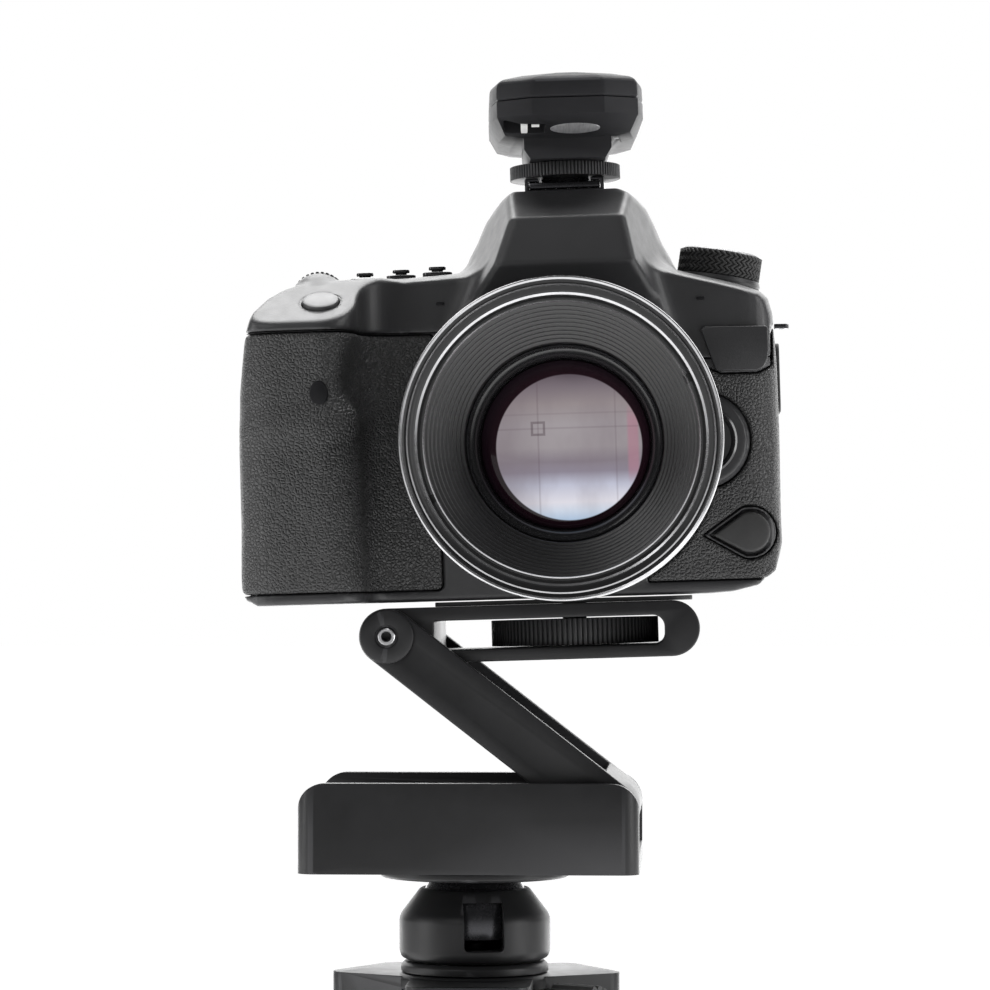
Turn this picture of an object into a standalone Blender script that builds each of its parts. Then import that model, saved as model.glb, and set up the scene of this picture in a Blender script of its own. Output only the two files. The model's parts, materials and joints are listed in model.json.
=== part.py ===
"""A digital single-lens reflex camera with a flash trigger, on a Z-fold tilt head, a levelling ball and a tripod.

Lengths are in millimetres until MM turns them into metres. X runs to the right of someone facing the lens, the lens
looks toward -Y, and Z is up. Heights of the tripod and heads are measured from the camera's base plate.
"""

import math

import bmesh
import bpy
from mathutils import Matrix, Vector

for old in list(bpy.data.objects):
    bpy.data.objects.remove(old, do_unlink=True)

MM = 0.001
GAP = 0.3

# Tripod
LEG_AZIMUTHS = (-90.0, 30.0, 150.0)
LEG_SPREAD = 22.0
LEG_HINGE_R = 30.0
LEG_HINGE_Z = -110.5
LEG_REACH = 306.0
TUBE_R = 11.0
TUBE_END = 245.0
INNER_TUBE_R = 9.0
INNER_TUBE_START = 60.0
INNER_TUBE_END = 290.0
TUBE_WALL = 1.5
LOCK_R = 14.5
FOOT_R = 12.5
HUB_TOP = -98.3
HUB_BOTTOM = -122.0
HUB_R = 17.5
ARM_HALF = 16.0
ARM_END = 37.0
CLEVIS_HALF = 11.5
PIN_R = 2.5
COLUMN_R = 11.0
COLUMN_END = -320.0
COLUMN_KNOB_AZIMUTH = -30.0
COLUMN_KNOB_Z = -109.0

# Levelling ball
BALL_Z = -84.3
BALL_R = 15.5
BALL_TOP = -73.6
BALL_BOTTOM = -88.8
HOUSING_R = 20.0
HOUSING_BOTTOM = -95.0
HOUSING_RIM = -76.0
PLATFORM_R = 25.0
PLATFORM_TOP = -70.7
STUD_R = 3.9
NOTCH_AZIMUTH = 10.7
KNOB_R = 8.5

# Z-fold head
LINK_R = 7.25
LINK_SPAN = 73.2
FOLD_ANGLE = 37.8
CAMERA_ROLL = 1.7
BASE_Z = -70.4
BASE_HALF_X = 44.0
BASE_HALF_Y = 34.0
BASE_HEIGHT = 23.3
BASE_FLOOR = 5.0
BASE_HINGE_X = 36.75
CHEEK = 4.5
ARM_HALF_Y = 29.0
PLATE_HALF_Y = 24.0
SLOT_LOW = -4.0
SLOT_HIGH = 3.6
SLOT_START = 11.9
SLOT_END = 71.6
SCREW_X = 47.7
WHEEL_R = 22.0
WHEEL_RIBS = 30
CAMERA_STUD_R = 3.175
SCREW_R = 2.2

# Camera
CAM_LIFT = 8.45
CAM_LEFT = -84.7
CAM_RIGHT = 56.2
CAM_FRONT = -20.0
CAM_SPLIT = 14.0
CAM_BACK = 24.0
CAM_SHOULDER = 70.0
LEATHER = 1.5
LENS_X = 0.9
LENS_Z = 38.4
MOUNT_R = 30.0
SHUTTER_SLOPE = 30.7
DIAL_R = 7.7
MODE_R = 10.9
HUMP_TOP = 107.2
SHOE_Y = 4.0
SHOE_TOP = 111.4
TRIGGER_X = 1.3
TRIGGER_YAW = 3.5
TRIGGER_SEAM = 131.0
TRIGGER_TOP = 137.0


# --- materials ------------------------------------------------------------------------------------------------------


def make_material(name, colour, metallic, roughness):
    material = bpy.data.materials.new(name)
    material.use_nodes = True
    shader = material.node_tree.nodes["Principled BSDF"]
    shader.inputs["Base Color"].default_value = (*colour, 1.0)
    shader.inputs["Metallic"].default_value = metallic
    shader.inputs["Roughness"].default_value = roughness
    return material


BLACK = (0.02, 0.02, 0.021)
DARK = (0.035, 0.035, 0.037)
GREY = (0.09, 0.09, 0.095)
SILVER = (0.62, 0.62, 0.63)
LOOKS = {
    "alloy": (DARK, 0.7, 0.42),
    "steel": (SILVER, 1.0, 0.3),
    "plastic": (BLACK, 0.0, 0.5),
    "gloss": (BLACK, 0.0, 0.15),
    "rubber": (BLACK, 0.0, 0.85),
    "pad": (GREY, 0.0, 0.9),
    "glass": ((0.3, 0.28, 0.36), 0.0, 0.05),
    "mirror": (SILVER, 1.0, 0.05),
    "white": ((0.8, 0.8, 0.8), 0.0, 0.4),
}


# --- building blocks ------------------------------------------------------------------------------------------------


def frame(name, parent, at, turn=(0.0, 0.0, 0.0)):
    """An empty that carries pieces; at in millimetres, turn in degrees."""
    empty = bpy.data.objects.new(name, None)
    bpy.context.scene.collection.objects.link(empty)
    empty.parent = parent
    empty.location = Vector(at) * MM
    empty.rotation_euler = [math.radians(angle) for angle in turn]
    empty.empty_display_size = 0.01
    return empty


def place(name, shape, parent, at, turn):
    bmesh.ops.remove_doubles(shape, verts=shape.verts, dist=1e-4)
    bmesh.ops.recalc_face_normals(shape, faces=shape.faces)
    bmesh.ops.scale(shape, vec=(MM, MM, MM), verts=shape.verts)
    mesh = bpy.data.meshes.new(name)
    shape.to_mesh(mesh)
    shape.free()
    obj = bpy.data.objects.new(name, mesh)
    bpy.context.scene.collection.objects.link(obj)
    obj.parent = parent
    obj.location = Vector(at) * MM
    obj.rotation_euler = [math.radians(angle) for angle in turn]
    return obj


def piece(name, shape, look, parent, at=(0.0, 0.0, 0.0), turn=(0.0, 0.0, 0.0)):
    obj = place(name, shape, parent, at, turn)
    obj.data.materials.append(make_material(name, *LOOKS[look]))
    obj.data.shade_smooth()
    obj.data.set_sharp_from_angle(angle=math.radians(32))
    return obj


def combine(obj, shape, operation="DIFFERENCE"):
    """Works a helper shape, given in the object's own coordinates, into the object."""
    helper = place(f"{obj.name}-{operation.lower()}", shape, obj, (0.0, 0.0, 0.0), (0.0, 0.0, 0.0))
    helper.hide_render = True
    helper.display_type = "WIRE"
    modifier = obj.modifiers.new(operation.title(), "BOOLEAN")
    modifier.operation = operation
    modifier.solver = "EXACT"
    modifier.object = helper
    return obj


def block(low, high, shape=None, matrix=None):
    shape = shape or bmesh.new()
    size = [b - a for a, b in zip(low, high)]
    middle = [(a + b) / 2 for a, b in zip(low, high)]
    local = Matrix.Translation(middle) @ Matrix.Diagonal((*size, 1.0))
    if matrix is not None:
        local = matrix @ local
    bmesh.ops.create_cube(shape, size=1.0, matrix=local)
    return shape


def slab(outline, axis, low, high, shape=None):
    """An outline, in the plane square to the axis, drawn out from low to high along it."""
    shape = shape or bmesh.new()
    spots = {"X": lambda u, v: (low, u, v), "Y": lambda u, v: (u, low, v), "Z": lambda u, v: (u, v, low)}[axis]
    along = {"X": (1, 0, 0), "Y": (0, 1, 0), "Z": (0, 0, 1)}[axis]
    corners = [shape.verts.new(spots(u, v)) for u, v in outline]
    face = shape.faces.new(corners)
    grown = bmesh.ops.extrude_face_region(shape, geom=[face], use_keep_orig=True)
    moved = [item for item in grown["geom"] if isinstance(item, bmesh.types.BMVert)]
    bmesh.ops.translate(shape, verts=moved, vec=Vector(along) * (high - low))
    return shape


def turned(profile, steps=36, ring=False, shape=None, matrix=None):
    """A profile of (radius, height) turned about Z. A ring's profile closes on itself."""
    shape = shape or bmesh.new()
    corners = [shape.verts.new((radius, 0.0, height)) for radius, height in profile]
    pairs = list(zip(corners, corners[1:]))
    if ring:
        pairs.append((corners[-1], corners[0]))
    edges = [shape.edges.new(pair) for pair in pairs]
    before = set(shape.verts) - set(corners)
    bmesh.ops.spin(
        shape, geom=corners + edges, axis=(0, 0, 1), cent=(0, 0, 0), angle=math.tau, steps=steps, use_merge=True
    )
    if matrix is not None:
        fresh = [vert for vert in shape.verts if vert not in before]
        bmesh.ops.transform(shape, matrix=matrix, verts=fresh)
    return shape


def rod(radius, low, high, steps=24, shape=None, matrix=None):
    return turned([(0.0, low), (radius, low), (radius, high), (0.0, high)], steps, False, shape, matrix)


def arc(centre, radius, start, end, count):
    """Points on an arc, ends included; angles in degrees."""
    angles = [math.radians(start + (end - start) * i / count) for i in range(count + 1)]
    return [(centre[0] + radius * math.cos(a), centre[1] + radius * math.sin(a)) for a in angles]


def rounded(low, high, radii, count=4):
    """A rectangle with corner radii given from the lower left, anticlockwise."""
    spots = [(low[0], low[1], 1, 1), (high[0], low[1], -1, 1), (high[0], high[1], -1, -1), (low[0], high[1], 1, -1)]
    outline = []
    for quarter, ((x, z, sx, sz), radius) in enumerate(zip(spots, radii)):
        if radius:
            centre = (x + sx * radius, z + sz * radius)
            outline += arc(centre, radius, 180 + 90 * quarter, 270 + 90 * quarter, count)
        else:
            outline.append((x, z))
    return outline


def toothed(inner, outer, teeth):
    """A toothed round outline."""
    outline = []
    for tooth in range(teeth):
        for share, radius in ((0.1, inner), (0.3, outer), (0.7, outer), (0.9, inner)):
            angle = math.tau * (tooth + share) / teeth
            outline.append((radius * math.cos(angle), radius * math.sin(angle)))
    return outline


def shrink(outline, distance):
    """An open outline moved to its left by a distance."""
    result = []
    for index, point in enumerate(outline):
        before = Vector(outline[max(index - 1, 0)])
        after = Vector(outline[min(index + 1, len(outline) - 1)])
        along = (after - before).normalized()
        result.append((point[0] - along.y * distance, point[1] + along.x * distance))
    return result


ALONG_Y = Matrix.Rotation(math.radians(-90), 4, "X")
ALONG_X = Matrix.Rotation(math.radians(90), 4, "Y")


def across(x, z, y=0.0):
    """Carries a shape turned about Z to lie along Y through (x, z)."""
    return Matrix.Translation((x, y, z)) @ ALONG_Y


# --- tripod ---------------------------------------------------------------------------------------------------------

ground = LEG_HINGE_Z - LEG_REACH * math.cos(math.radians(LEG_SPREAD))
foot_reach = LEG_HINGE_R + LEG_REACH * math.sin(math.radians(LEG_SPREAD))
# The three feet reach twice as far forward as back, so this shift centres the whole object front to back.
root = frame("stand", None, (0.0, foot_reach / 4, -ground))


def spider():
    """The shoulder casting: a hub with three clevis arms under a flat roof."""
    hub = [
        (COLUMN_R + GAP, HUB_TOP),
        (19.0, HUB_TOP),
        (20.5, HUB_TOP - 1.5),
        (20.5, HUB_TOP - 3.7),
        (HUB_R, HUB_TOP - 5.7),
        (HUB_R, HUB_BOTTOM),
        (COLUMN_R + GAP, HUB_BOTTOM),
    ]
    obj = piece("tripod_spider", turned(hub, 36, ring=True), "alloy", root)
    arms = bmesh.new()
    pockets = bmesh.new()
    bores = bmesh.new()
    for azimuth in LEG_AZIMUTHS:
        turn = Matrix.Rotation(math.radians(azimuth), 4, "Z")
        arm = slab(rounded((12.5, -ARM_HALF), (ARM_END, ARM_HALF), (0, 5, 5, 0), 3), "Z", -119.0, HUB_TOP - 0.6)
        bmesh.ops.transform(arm, matrix=turn, verts=arm.verts)
        holder = bpy.data.meshes.new("arm")
        arm.to_mesh(holder)
        arms.from_mesh(holder)
        bpy.data.meshes.remove(holder)
        arm.free()
        block((HUB_R + 0.7, -CLEVIS_HALF, -130.0), (50.0, CLEVIS_HALF, HUB_TOP - 3.2), pockets, turn)
        bore = turn @ Matrix.Translation((LEG_HINGE_R, 0.0, LEG_HINGE_Z)) @ ALONG_Y
        rod(PIN_R + GAP, -20.0, 20.0, 16, bores, bore)
    combine(obj, arms, "UNION")
    clamp = Matrix.Rotation(math.radians(COLUMN_KNOB_AZIMUTH), 4, "Z")
    clamp = clamp @ Matrix.Translation((0.0, 0.0, COLUMN_KNOB_Z)) @ ALONG_X
    combine(obj, pockets)
    combine(obj, bores)
    combine(obj, rod(3.0 + GAP, 8.0, 24.0, 16, None, clamp))


def leg(number, azimuth):
    """One leg: its frame stands on the hinge, with -Z running down the leg and Y along the hinge."""
    radians = math.radians(azimuth)
    spot = (LEG_HINGE_R * math.cos(radians), LEG_HINGE_R * math.sin(radians), LEG_HINGE_Z)
    hinge = frame(f"leg_hinge_{number}", root, spot, (0.0, -LEG_SPREAD, azimuth))
    pin_length = ARM_HALF - GAP
    pin_shape = rod(PIN_R, -pin_length, pin_length, 16, None, ALONG_Y)
    piece(f"leg_pin_{number}", pin_shape, "steel", hinge)

    wall = INNER_TUBE_R + GAP
    tube = [(0.0, -14.0), (TUBE_R - 1.5, -14.0), (TUBE_R, -15.5), (TUBE_R, -TUBE_END), (wall, -TUBE_END)]
    tube += [(wall, -22.0), (0.0, -22.0)]
    upper = piece(f"leg_upper_{number}", turned(tube, 20), "alloy", hinge)
    knuckle = [(-8.5, -18.0), (8.5, -18.0)] + arc((0.0, 0.0), 8.5, 0.0, 180.0, 12)
    combine(upper, slab(knuckle, "Y", -CLEVIS_HALF + GAP, CLEVIS_HALF - GAP), "UNION")
    combine(upper, rod(PIN_R + GAP, -20.0, 20.0, 16, None, ALONG_Y))

    top = 233.0 - TUBE_END
    bottom = 262.0 - TUBE_END
    collar = [
        (TUBE_R + GAP, -top),
        (LOCK_R - 1.0, -top),
        (LOCK_R, -top - 2.0),
        (LOCK_R, -bottom + 2.0),
        (LOCK_R - 1.5, -bottom),
        (wall, -bottom),
        (wall, -GAP),
        (TUBE_R + GAP, -GAP),
    ]
    piece(f"leg_lock_{number}", turned(collar, 20, ring=True), "rubber", hinge, (0.0, 0.0, -TUBE_END))

    bore = INNER_TUBE_R - TUBE_WALL
    inner = [(bore, -INNER_TUBE_START), (INNER_TUBE_R, -INNER_TUBE_START)]
    inner += [(INNER_TUBE_R, -INNER_TUBE_END), (bore, -INNER_TUBE_END)]
    piece(f"leg_lower_{number}", turned(inner, 16, ring=True), "alloy", hinge)

    socket = INNER_TUBE_END + GAP
    sole = [(0.0, -socket), (wall, -socket), (wall, -276.0), (FOOT_R - 0.8, -276.0)]
    sole += [(FOOT_R, -277.5), (FOOT_R, -320.0), (0.0, -320.0)]
    foot = piece(f"leg_foot_{number}", turned(sole, 20), "rubber", hinge)
    level = Matrix.Translation((0.0, 0.0, -LEG_REACH)) @ Matrix.Rotation(math.radians(LEG_SPREAD), 4, "Y")
    combine(foot, block((-40.0, -40.0, -40.0), (40.0, 40.0, 0.0), None, level))


def column():
    profile = [
        (0.0, -90.5),
        (4.4, -90.5),
        (4.4, HOUSING_BOTTOM - GAP),
        (18.5, HOUSING_BOTTOM - GAP),
        (19.5, -96.2),
        (19.5, HUB_TOP + GAP),
        (COLUMN_R, HUB_TOP + GAP),
        (COLUMN_R, COLUMN_END),
        (COLUMN_R - 2.0, COLUMN_END),
        (COLUMN_R - 2.0, -100.5),
        (0.0, -100.5),
    ]
    piece("center_column", turned(profile, 28), "alloy", root)
    turn = (0.0, 90.0, COLUMN_KNOB_AZIMUTH)
    knob = [(0.0, COLUMN_R + 0.6), (3.0, COLUMN_R + 0.6), (3.0, 25.5), (7.5, 25.5), (9.0, 27.0)]
    knob += [(9.0, 36.5), (7.5, 38.0), (0.0, 38.0)]
    piece("column_lock_knob", turned(knob, 18), "rubber", root, (0.0, 0.0, COLUMN_KNOB_Z), turn)


spider()
for leg_number, leg_azimuth in enumerate(LEG_AZIMUTHS, start=1):
    leg(leg_number, leg_azimuth)
column()


# --- levelling ball -------------------------------------------------------------------------------------------------

ball_frame = frame("ball_centre", root, (0.0, 0.0, BALL_Z))


def height_angle(height, radius):
    return math.degrees(math.asin(height / radius))


def levelling_ball():
    top = BALL_TOP - BALL_Z
    bottom = BALL_BOTTOM - BALL_Z
    sphere = arc((0.0, 0.0), BALL_R, height_angle(bottom, BALL_R), height_angle(top, BALL_R), 6)
    profile = [(0.0, bottom)] + sphere + [(STUD_R, top), (STUD_R, BASE_Z + 4.5 - BALL_Z), (0.0, BASE_Z + 4.5 - BALL_Z)]
    piece("leveling_ball", turned(profile, 28), "steel", ball_frame)

    cup = BALL_R + GAP
    floor = -92.0
    hollow = arc((0.0, BALL_Z), cup, height_angle(HOUSING_RIM - BALL_Z, cup), height_angle(floor - BALL_Z, cup), 6)
    outer = [
        (5.1, HOUSING_BOTTOM),
        (HOUSING_R - 2.0, HOUSING_BOTTOM),
        (HOUSING_R - 0.6, HOUSING_BOTTOM + 0.8),
        (HOUSING_R, HOUSING_BOTTOM + 2.2),
        (HOUSING_R, -83.6),
        (HOUSING_R - 0.6, -82.4),
        (14.6, HOUSING_RIM - 0.3),
        (14.2, HOUSING_RIM),
    ]
    housing = piece("ball_housing", turned(outer + hollow + [(5.1, floor)], 36, ring=True), "alloy", root)
    notch = Matrix.Rotation(math.radians(NOTCH_AZIMUTH), 4, "Z")
    holes = block((-5.25, -26.0, -91.5), (5.25, -9.0, -80.5), None, notch)
    rod(2.7 + GAP, 10.0, 26.0, 16, holes, across(0.0, -88.0))
    combine(housing, holes)

    knob = [(0.0, 16.2), (2.7, 16.2), (2.7, 22.0), (KNOB_R - 1.5, 22.0), (KNOB_R, 23.5)]
    knob += [(KNOB_R, 32.5), (KNOB_R - 1.5, 34.0), (0.0, 34.0)]
    piece("ball_lock_knob", turned(knob, 18), "rubber", root, (0.0, 0.0, -88.0), (-90.0, 0.0, 0.0))

    disc = [
        (STUD_R + GAP, PLATFORM_TOP),
        (PLATFORM_R - 0.6, PLATFORM_TOP),
        (PLATFORM_R, PLATFORM_TOP - 0.5),
        (PLATFORM_R - 0.4, PLATFORM_TOP - 1.0),
        (PLATFORM_R - 6.0, PLATFORM_TOP - 2.0),
        (12.0, PLATFORM_TOP - 2.6),
        (STUD_R + GAP, PLATFORM_TOP - 2.6),
    ]
    lowered = [(radius, height - BALL_Z) for radius, height in disc]
    piece("ball_platform", turned(lowered, 36, ring=True), "alloy", ball_frame)


levelling_ball()


# --- Z-fold head ----------------------------------------------------------------------------------------------------

base_frame = frame("head_base", ball_frame, (0.0, 0.0, BASE_Z - BALL_Z))
hinge_height = BASE_HEIGHT - LINK_R
arm_frame = frame("head_arm", base_frame, (BASE_HINGE_X, 0.0, hinge_height), (0.0, FOLD_ANGLE, 0.0))
plate_frame = frame("head_plate", arm_frame, (-LINK_SPAN, 0.0, 0.0), (0.0, -FOLD_ANGLE - CAMERA_ROLL, 0.0))


def stadium(left, right, radius):
    return arc((left, 0.0), radius, 90.0, 270.0, 10) + arc((right, 0.0), radius, -90.0, 90.0, 10)


def z_head():
    outline = rounded((-BASE_HALF_X, 0.0), (BASE_HALF_X, BASE_HEIGHT), (0, 0, LINK_R, LINK_R), 6)
    base = piece("fold_base", slab(outline, "Y", -BASE_HALF_Y, BASE_HALF_Y), "alloy", base_frame)
    inside = BASE_HALF_Y - CHEEK
    combine(base, block((-60.0, -inside, BASE_FLOOR), (60.0, inside, 40.0)))
    bores = rod(3.0 + GAP, -BASE_HALF_Y + 2.0, BASE_HALF_Y + 5.0, 20, None, across(BASE_HINGE_X, hinge_height))
    rod(STUD_R + GAP, -5.0, 10.0, 20, bores)
    combine(base, bores)
    pin = rod(3.0, -BASE_HALF_Y + 2.0 + GAP, BASE_HALF_Y, 20, None, ALONG_Y)
    piece("lower_hinge_pin", pin, "steel", base_frame, (BASE_HINGE_X, 0.0, hinge_height))

    arm = piece("fold_arm", slab(stadium(-LINK_SPAN, 0.0, LINK_R), "Y", -ARM_HALF_Y, ARM_HALF_Y), "alloy", arm_frame)
    web_top = -LINK_R + 3.0
    open_part = [(-95.0, -20.0), (-48.0, -20.0), (-48.0, web_top), (-LINK_R, web_top), (-LINK_R, 20.0), (-95.0, 20.0)]
    room = ARM_HALF_Y - CHEEK
    combine(arm, slab(open_part, "Y", -room, room))
    bores = rod(3.0 + GAP, -40.0, 40.0, 20, None, ALONG_Y)
    rod(SCREW_R + GAP, -40.0, 40.0, 20, bores, across(-LINK_SPAN, 0.0))
    combine(arm, bores)

    screw = [(0.0, -28.0), (SCREW_R, -28.0), (SCREW_R, ARM_HALF_Y + GAP), (LINK_R - 0.6, ARM_HALF_Y + GAP)]
    screw += [(LINK_R - 0.3, ARM_HALF_Y + 0.9), (LINK_R - 0.9, ARM_HALF_Y + 1.4), (0.0, ARM_HALF_Y + 1.4)]
    cap = piece("upper_hinge_screw", turned(screw, 24), "alloy", arm_frame, (-LINK_SPAN, 0.0, 0.0), (90.0, 0.0, 0.0))
    hexagon = [(1.6 * math.cos(math.tau * i / 6), 1.6 * math.sin(math.tau * i / 6)) for i in range(6)]
    combine(cap, slab(hexagon, "Z", ARM_HALF_Y - 1.5, ARM_HALF_Y + 5.0))

    plate = piece("tilt_plate", slab(stadium(0.0, 73.5, LINK_R), "Y", -PLATE_HALF_Y, PLATE_HALF_Y), "alloy", plate_frame)
    window = rounded((SLOT_START, SLOT_LOW), (SLOT_END, SLOT_HIGH), (0, 3.0, 3.0, 0), 3)
    combine(plate, slab(window, "Y", -40.0, 40.0))
    lift = Matrix.Translation((SCREW_X, 0.0, 0.0))
    bores = rod(CAMERA_STUD_R + GAP, SLOT_HIGH - 2.0, 12.0, 20, None, lift)
    rod(SCREW_R + GAP, -40.0, 40.0, 20, bores, across(0.0, 0.0))
    combine(plate, bores)

    wheel = slab(toothed(WHEEL_R - 0.7, WHEEL_R, WHEEL_RIBS), "Z", SLOT_LOW + 0.4, SLOT_HIGH - 0.4)
    thumb = piece("camera_screw_wheel", wheel, "alloy", plate_frame, (SCREW_X, 0.0, 0.0))
    combine(thumb, rod(CAMERA_STUD_R, 0.0, CAM_LIFT + 5.0, 20), "UNION")

    mat = rounded((12.0, -PLATE_HALF_Y + 0.5), (79.0, PLATE_HALF_Y - 0.5), (3, 6, 6, 3), 3)
    pad = piece("plate_pad", slab(mat, "Z", LINK_R + GAP, CAM_LIFT - GAP), "pad", plate_frame)
    combine(pad, rod(CAMERA_STUD_R + 2 * GAP, 0.0, 20.0, 20, None, lift))


z_head()


# --- camera ---------------------------------------------------------------------------------------------------------

camera = frame("camera", plate_frame, (SCREW_X, 0.0, CAM_LIFT))

grip_line = [(CAM_LEFT, CAM_SPLIT - 0.15), (CAM_LEFT, -20.0)]
grip_line += arc((CAM_LEFT + 12.0, -33.0), 12.0, 180.0, 270.0, 5)
grip_line += arc((-63.0, -35.0), 10.0, 270.0, 350.0, 4)
grip_line += [(-51.6, -29.0), (-49.6, -24.6), (-46.0, -22.2), (-41.0, CAM_FRONT - LEATHER)]
leather_end = (-34.0, CAM_FRONT - LEATHER)
right_corner = arc((CAM_RIGHT - 9.0, CAM_FRONT + 9.0), 9.0, 270.0, 360.0, 5)


def plan(back, inset=0.0, front=CAM_FRONT):
    """The camera seen from above, with the grip drawn in by an inset."""
    line = shrink(grip_line, inset) if inset else list(grip_line)
    line[0] = (line[0][0], back)
    line[-1] = (line[-1][0], front)
    return line + [(x, y + front - CAM_FRONT) for x, y in right_corner] + [(CAM_RIGHT, back)]


def front_outline(low, high):
    return rounded((CAM_LEFT, low), (CAM_RIGHT, high), (4.0, 8.0, 0, 0), 5)


def camera_body():
    recess = LEATHER + GAP
    core = piece("camera_body", slab(plan(CAM_SPLIT - 0.15, recess), "Z", 1.5, CAM_SHOULDER), "plastic", camera)
    combine(core, slab(plan(CAM_SPLIT - 0.15), "Z", 0.0, 3.0), "UNION")
    combine(core, slab(front_outline(0.0, CAM_SHOULDER + 20.0), "Y", -60.0, 40.0), "INTERSECT")
    rooms = block((LENS_X - 20.0, -16.5, 23.0), (LENS_X + 20.0, 30.0, 62.0))
    combine(core, rooms)
    combine(core, rod(25.0, -30.0, -10.0, 36, None, across(LENS_X, LENS_Z)))
    combine(core, block((LENS_X - 15.0, -13.0, 50.0), (LENS_X + 15.0, 9.0, 80.0)))
    bays = block((-79.0, -38.0, 1.0), (-58.0, 1.0, 58.0))
    combine(core, bays)
    combine(core, block((-81.0, -40.5, -2.0), (-56.0, 3.5, 2.6)))
    holes = rod(CAMERA_STUD_R + GAP, -5.0, 6.0, 20)
    rod(3.9, -40.0, -14.0, 20, holes, across(35.0, 39.9))
    drop = arc((46.8, 15.8), 5.6, -110.0, 110.0, 10) + [(36.5, 15.3)]
    slab(drop, "Y", -40.0, CAM_FRONT + 2.0, holes)
    combine(core, holes)

    cover = arc((46.8, 15.8), 5.3, -110.0, 110.0, 10) + [(37.1, 15.3)]
    piece("terminal_cover", slab(cover, "Y", CAM_FRONT - 0.6, CAM_FRONT + 1.7), "rubber", camera)

    wrap = grip_line + [leather_end]
    inner = shrink(wrap, LEATHER)
    wrap[0] = (wrap[0][0], CAM_SPLIT - 0.5)
    inner[0] = (inner[0][0], CAM_SPLIT - 0.5)
    piece("grip_leather", slab(wrap + inner[::-1], "Z", 3.3, CAM_SHOULDER - 0.2), "rubber", camera)

    back = slab(front_outline(0.0, CAM_SHOULDER + 20.0), "Y", CAM_SPLIT + 0.15, CAM_BACK)
    rear = piece("rear_cover", back, "plastic", camera)
    combine(rear, block((-100.0, 0.0, CAM_SHOULDER), (100.0, 40.0, 120.0)))
    seats = block((-21.0, CAM_BACK - 1.5, 12.0), (45.0, 40.0, 60.0))
    rod(15.3, CAM_BACK - 2.5, 40.0, 32, seats, across(-58.0, 30.0))
    combine(rear, seats)
    piece("lcd_screen", block((-20.7, CAM_BACK - 1.2, 12.3), (44.7, CAM_BACK + 1.5, 59.7)), "gloss", camera)
    dial = slab(toothed(14.4, 15.0, 22), "Z", -2.2, 2.0)
    piece("rear_dial", dial, "rubber", camera, (-58.0, CAM_BACK, 30.0), (-90.0, 0.0, 0.0))


def inside_parts():
    ring = [(25.2, -CAM_FRONT), (MOUNT_R, -CAM_FRONT), (MOUNT_R, -CAM_FRONT + 3.3), (25.2, -CAM_FRONT + 3.3)]
    piece("lens_mount_ring", turned(ring, 32, ring=True), "steel", camera, (LENS_X, 0.0, LENS_Z), (90.0, 0.0, 0.0))
    flap = block((-17.0, -26.0, -0.6), (17.0, 0.0, 0.6))
    piece("reflex_mirror", flap, "mirror", camera, (LENS_X, 4.0, 48.0), (45.0, 0.0, 0.0))
    piece("image_sensor", block((LENS_X - 18.0, 9.5, 26.4), (LENS_X + 18.0, 11.5, 50.4)), "gloss", camera)
    shape = [(-11.0, 71.5), (14.0, 71.5), (15.0, 86.0), (4.0, 96.0), (-11.0, 88.0)]
    piece("pentaprism", slab(shape, "X", LENS_X - 12.0, LENS_X + 12.0), "glass", camera)
    cell = rounded((-78.7, -37.7), (-58.3, 0.7), (2, 2, 2, 2), 2)
    piece("battery", slab(cell, "Z", 3.0, 57.0), "plastic", camera)
    door = block((-0.5, -40.2, -0.3), (23.9, 3.2, 1.8))
    piece("battery_door", door, "plastic", camera, (-80.2, 0.0, 0.4))
    release = [(0.0, 15.4), (3.6, 15.4), (3.6, 22.8), (3.1, 23.2), (0.0, 23.2)]
    piece("lens_release_button", turned(release, 24), "gloss", camera, (35.0, 0.0, 39.9), (90.0, 0.0, 0.0))


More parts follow.
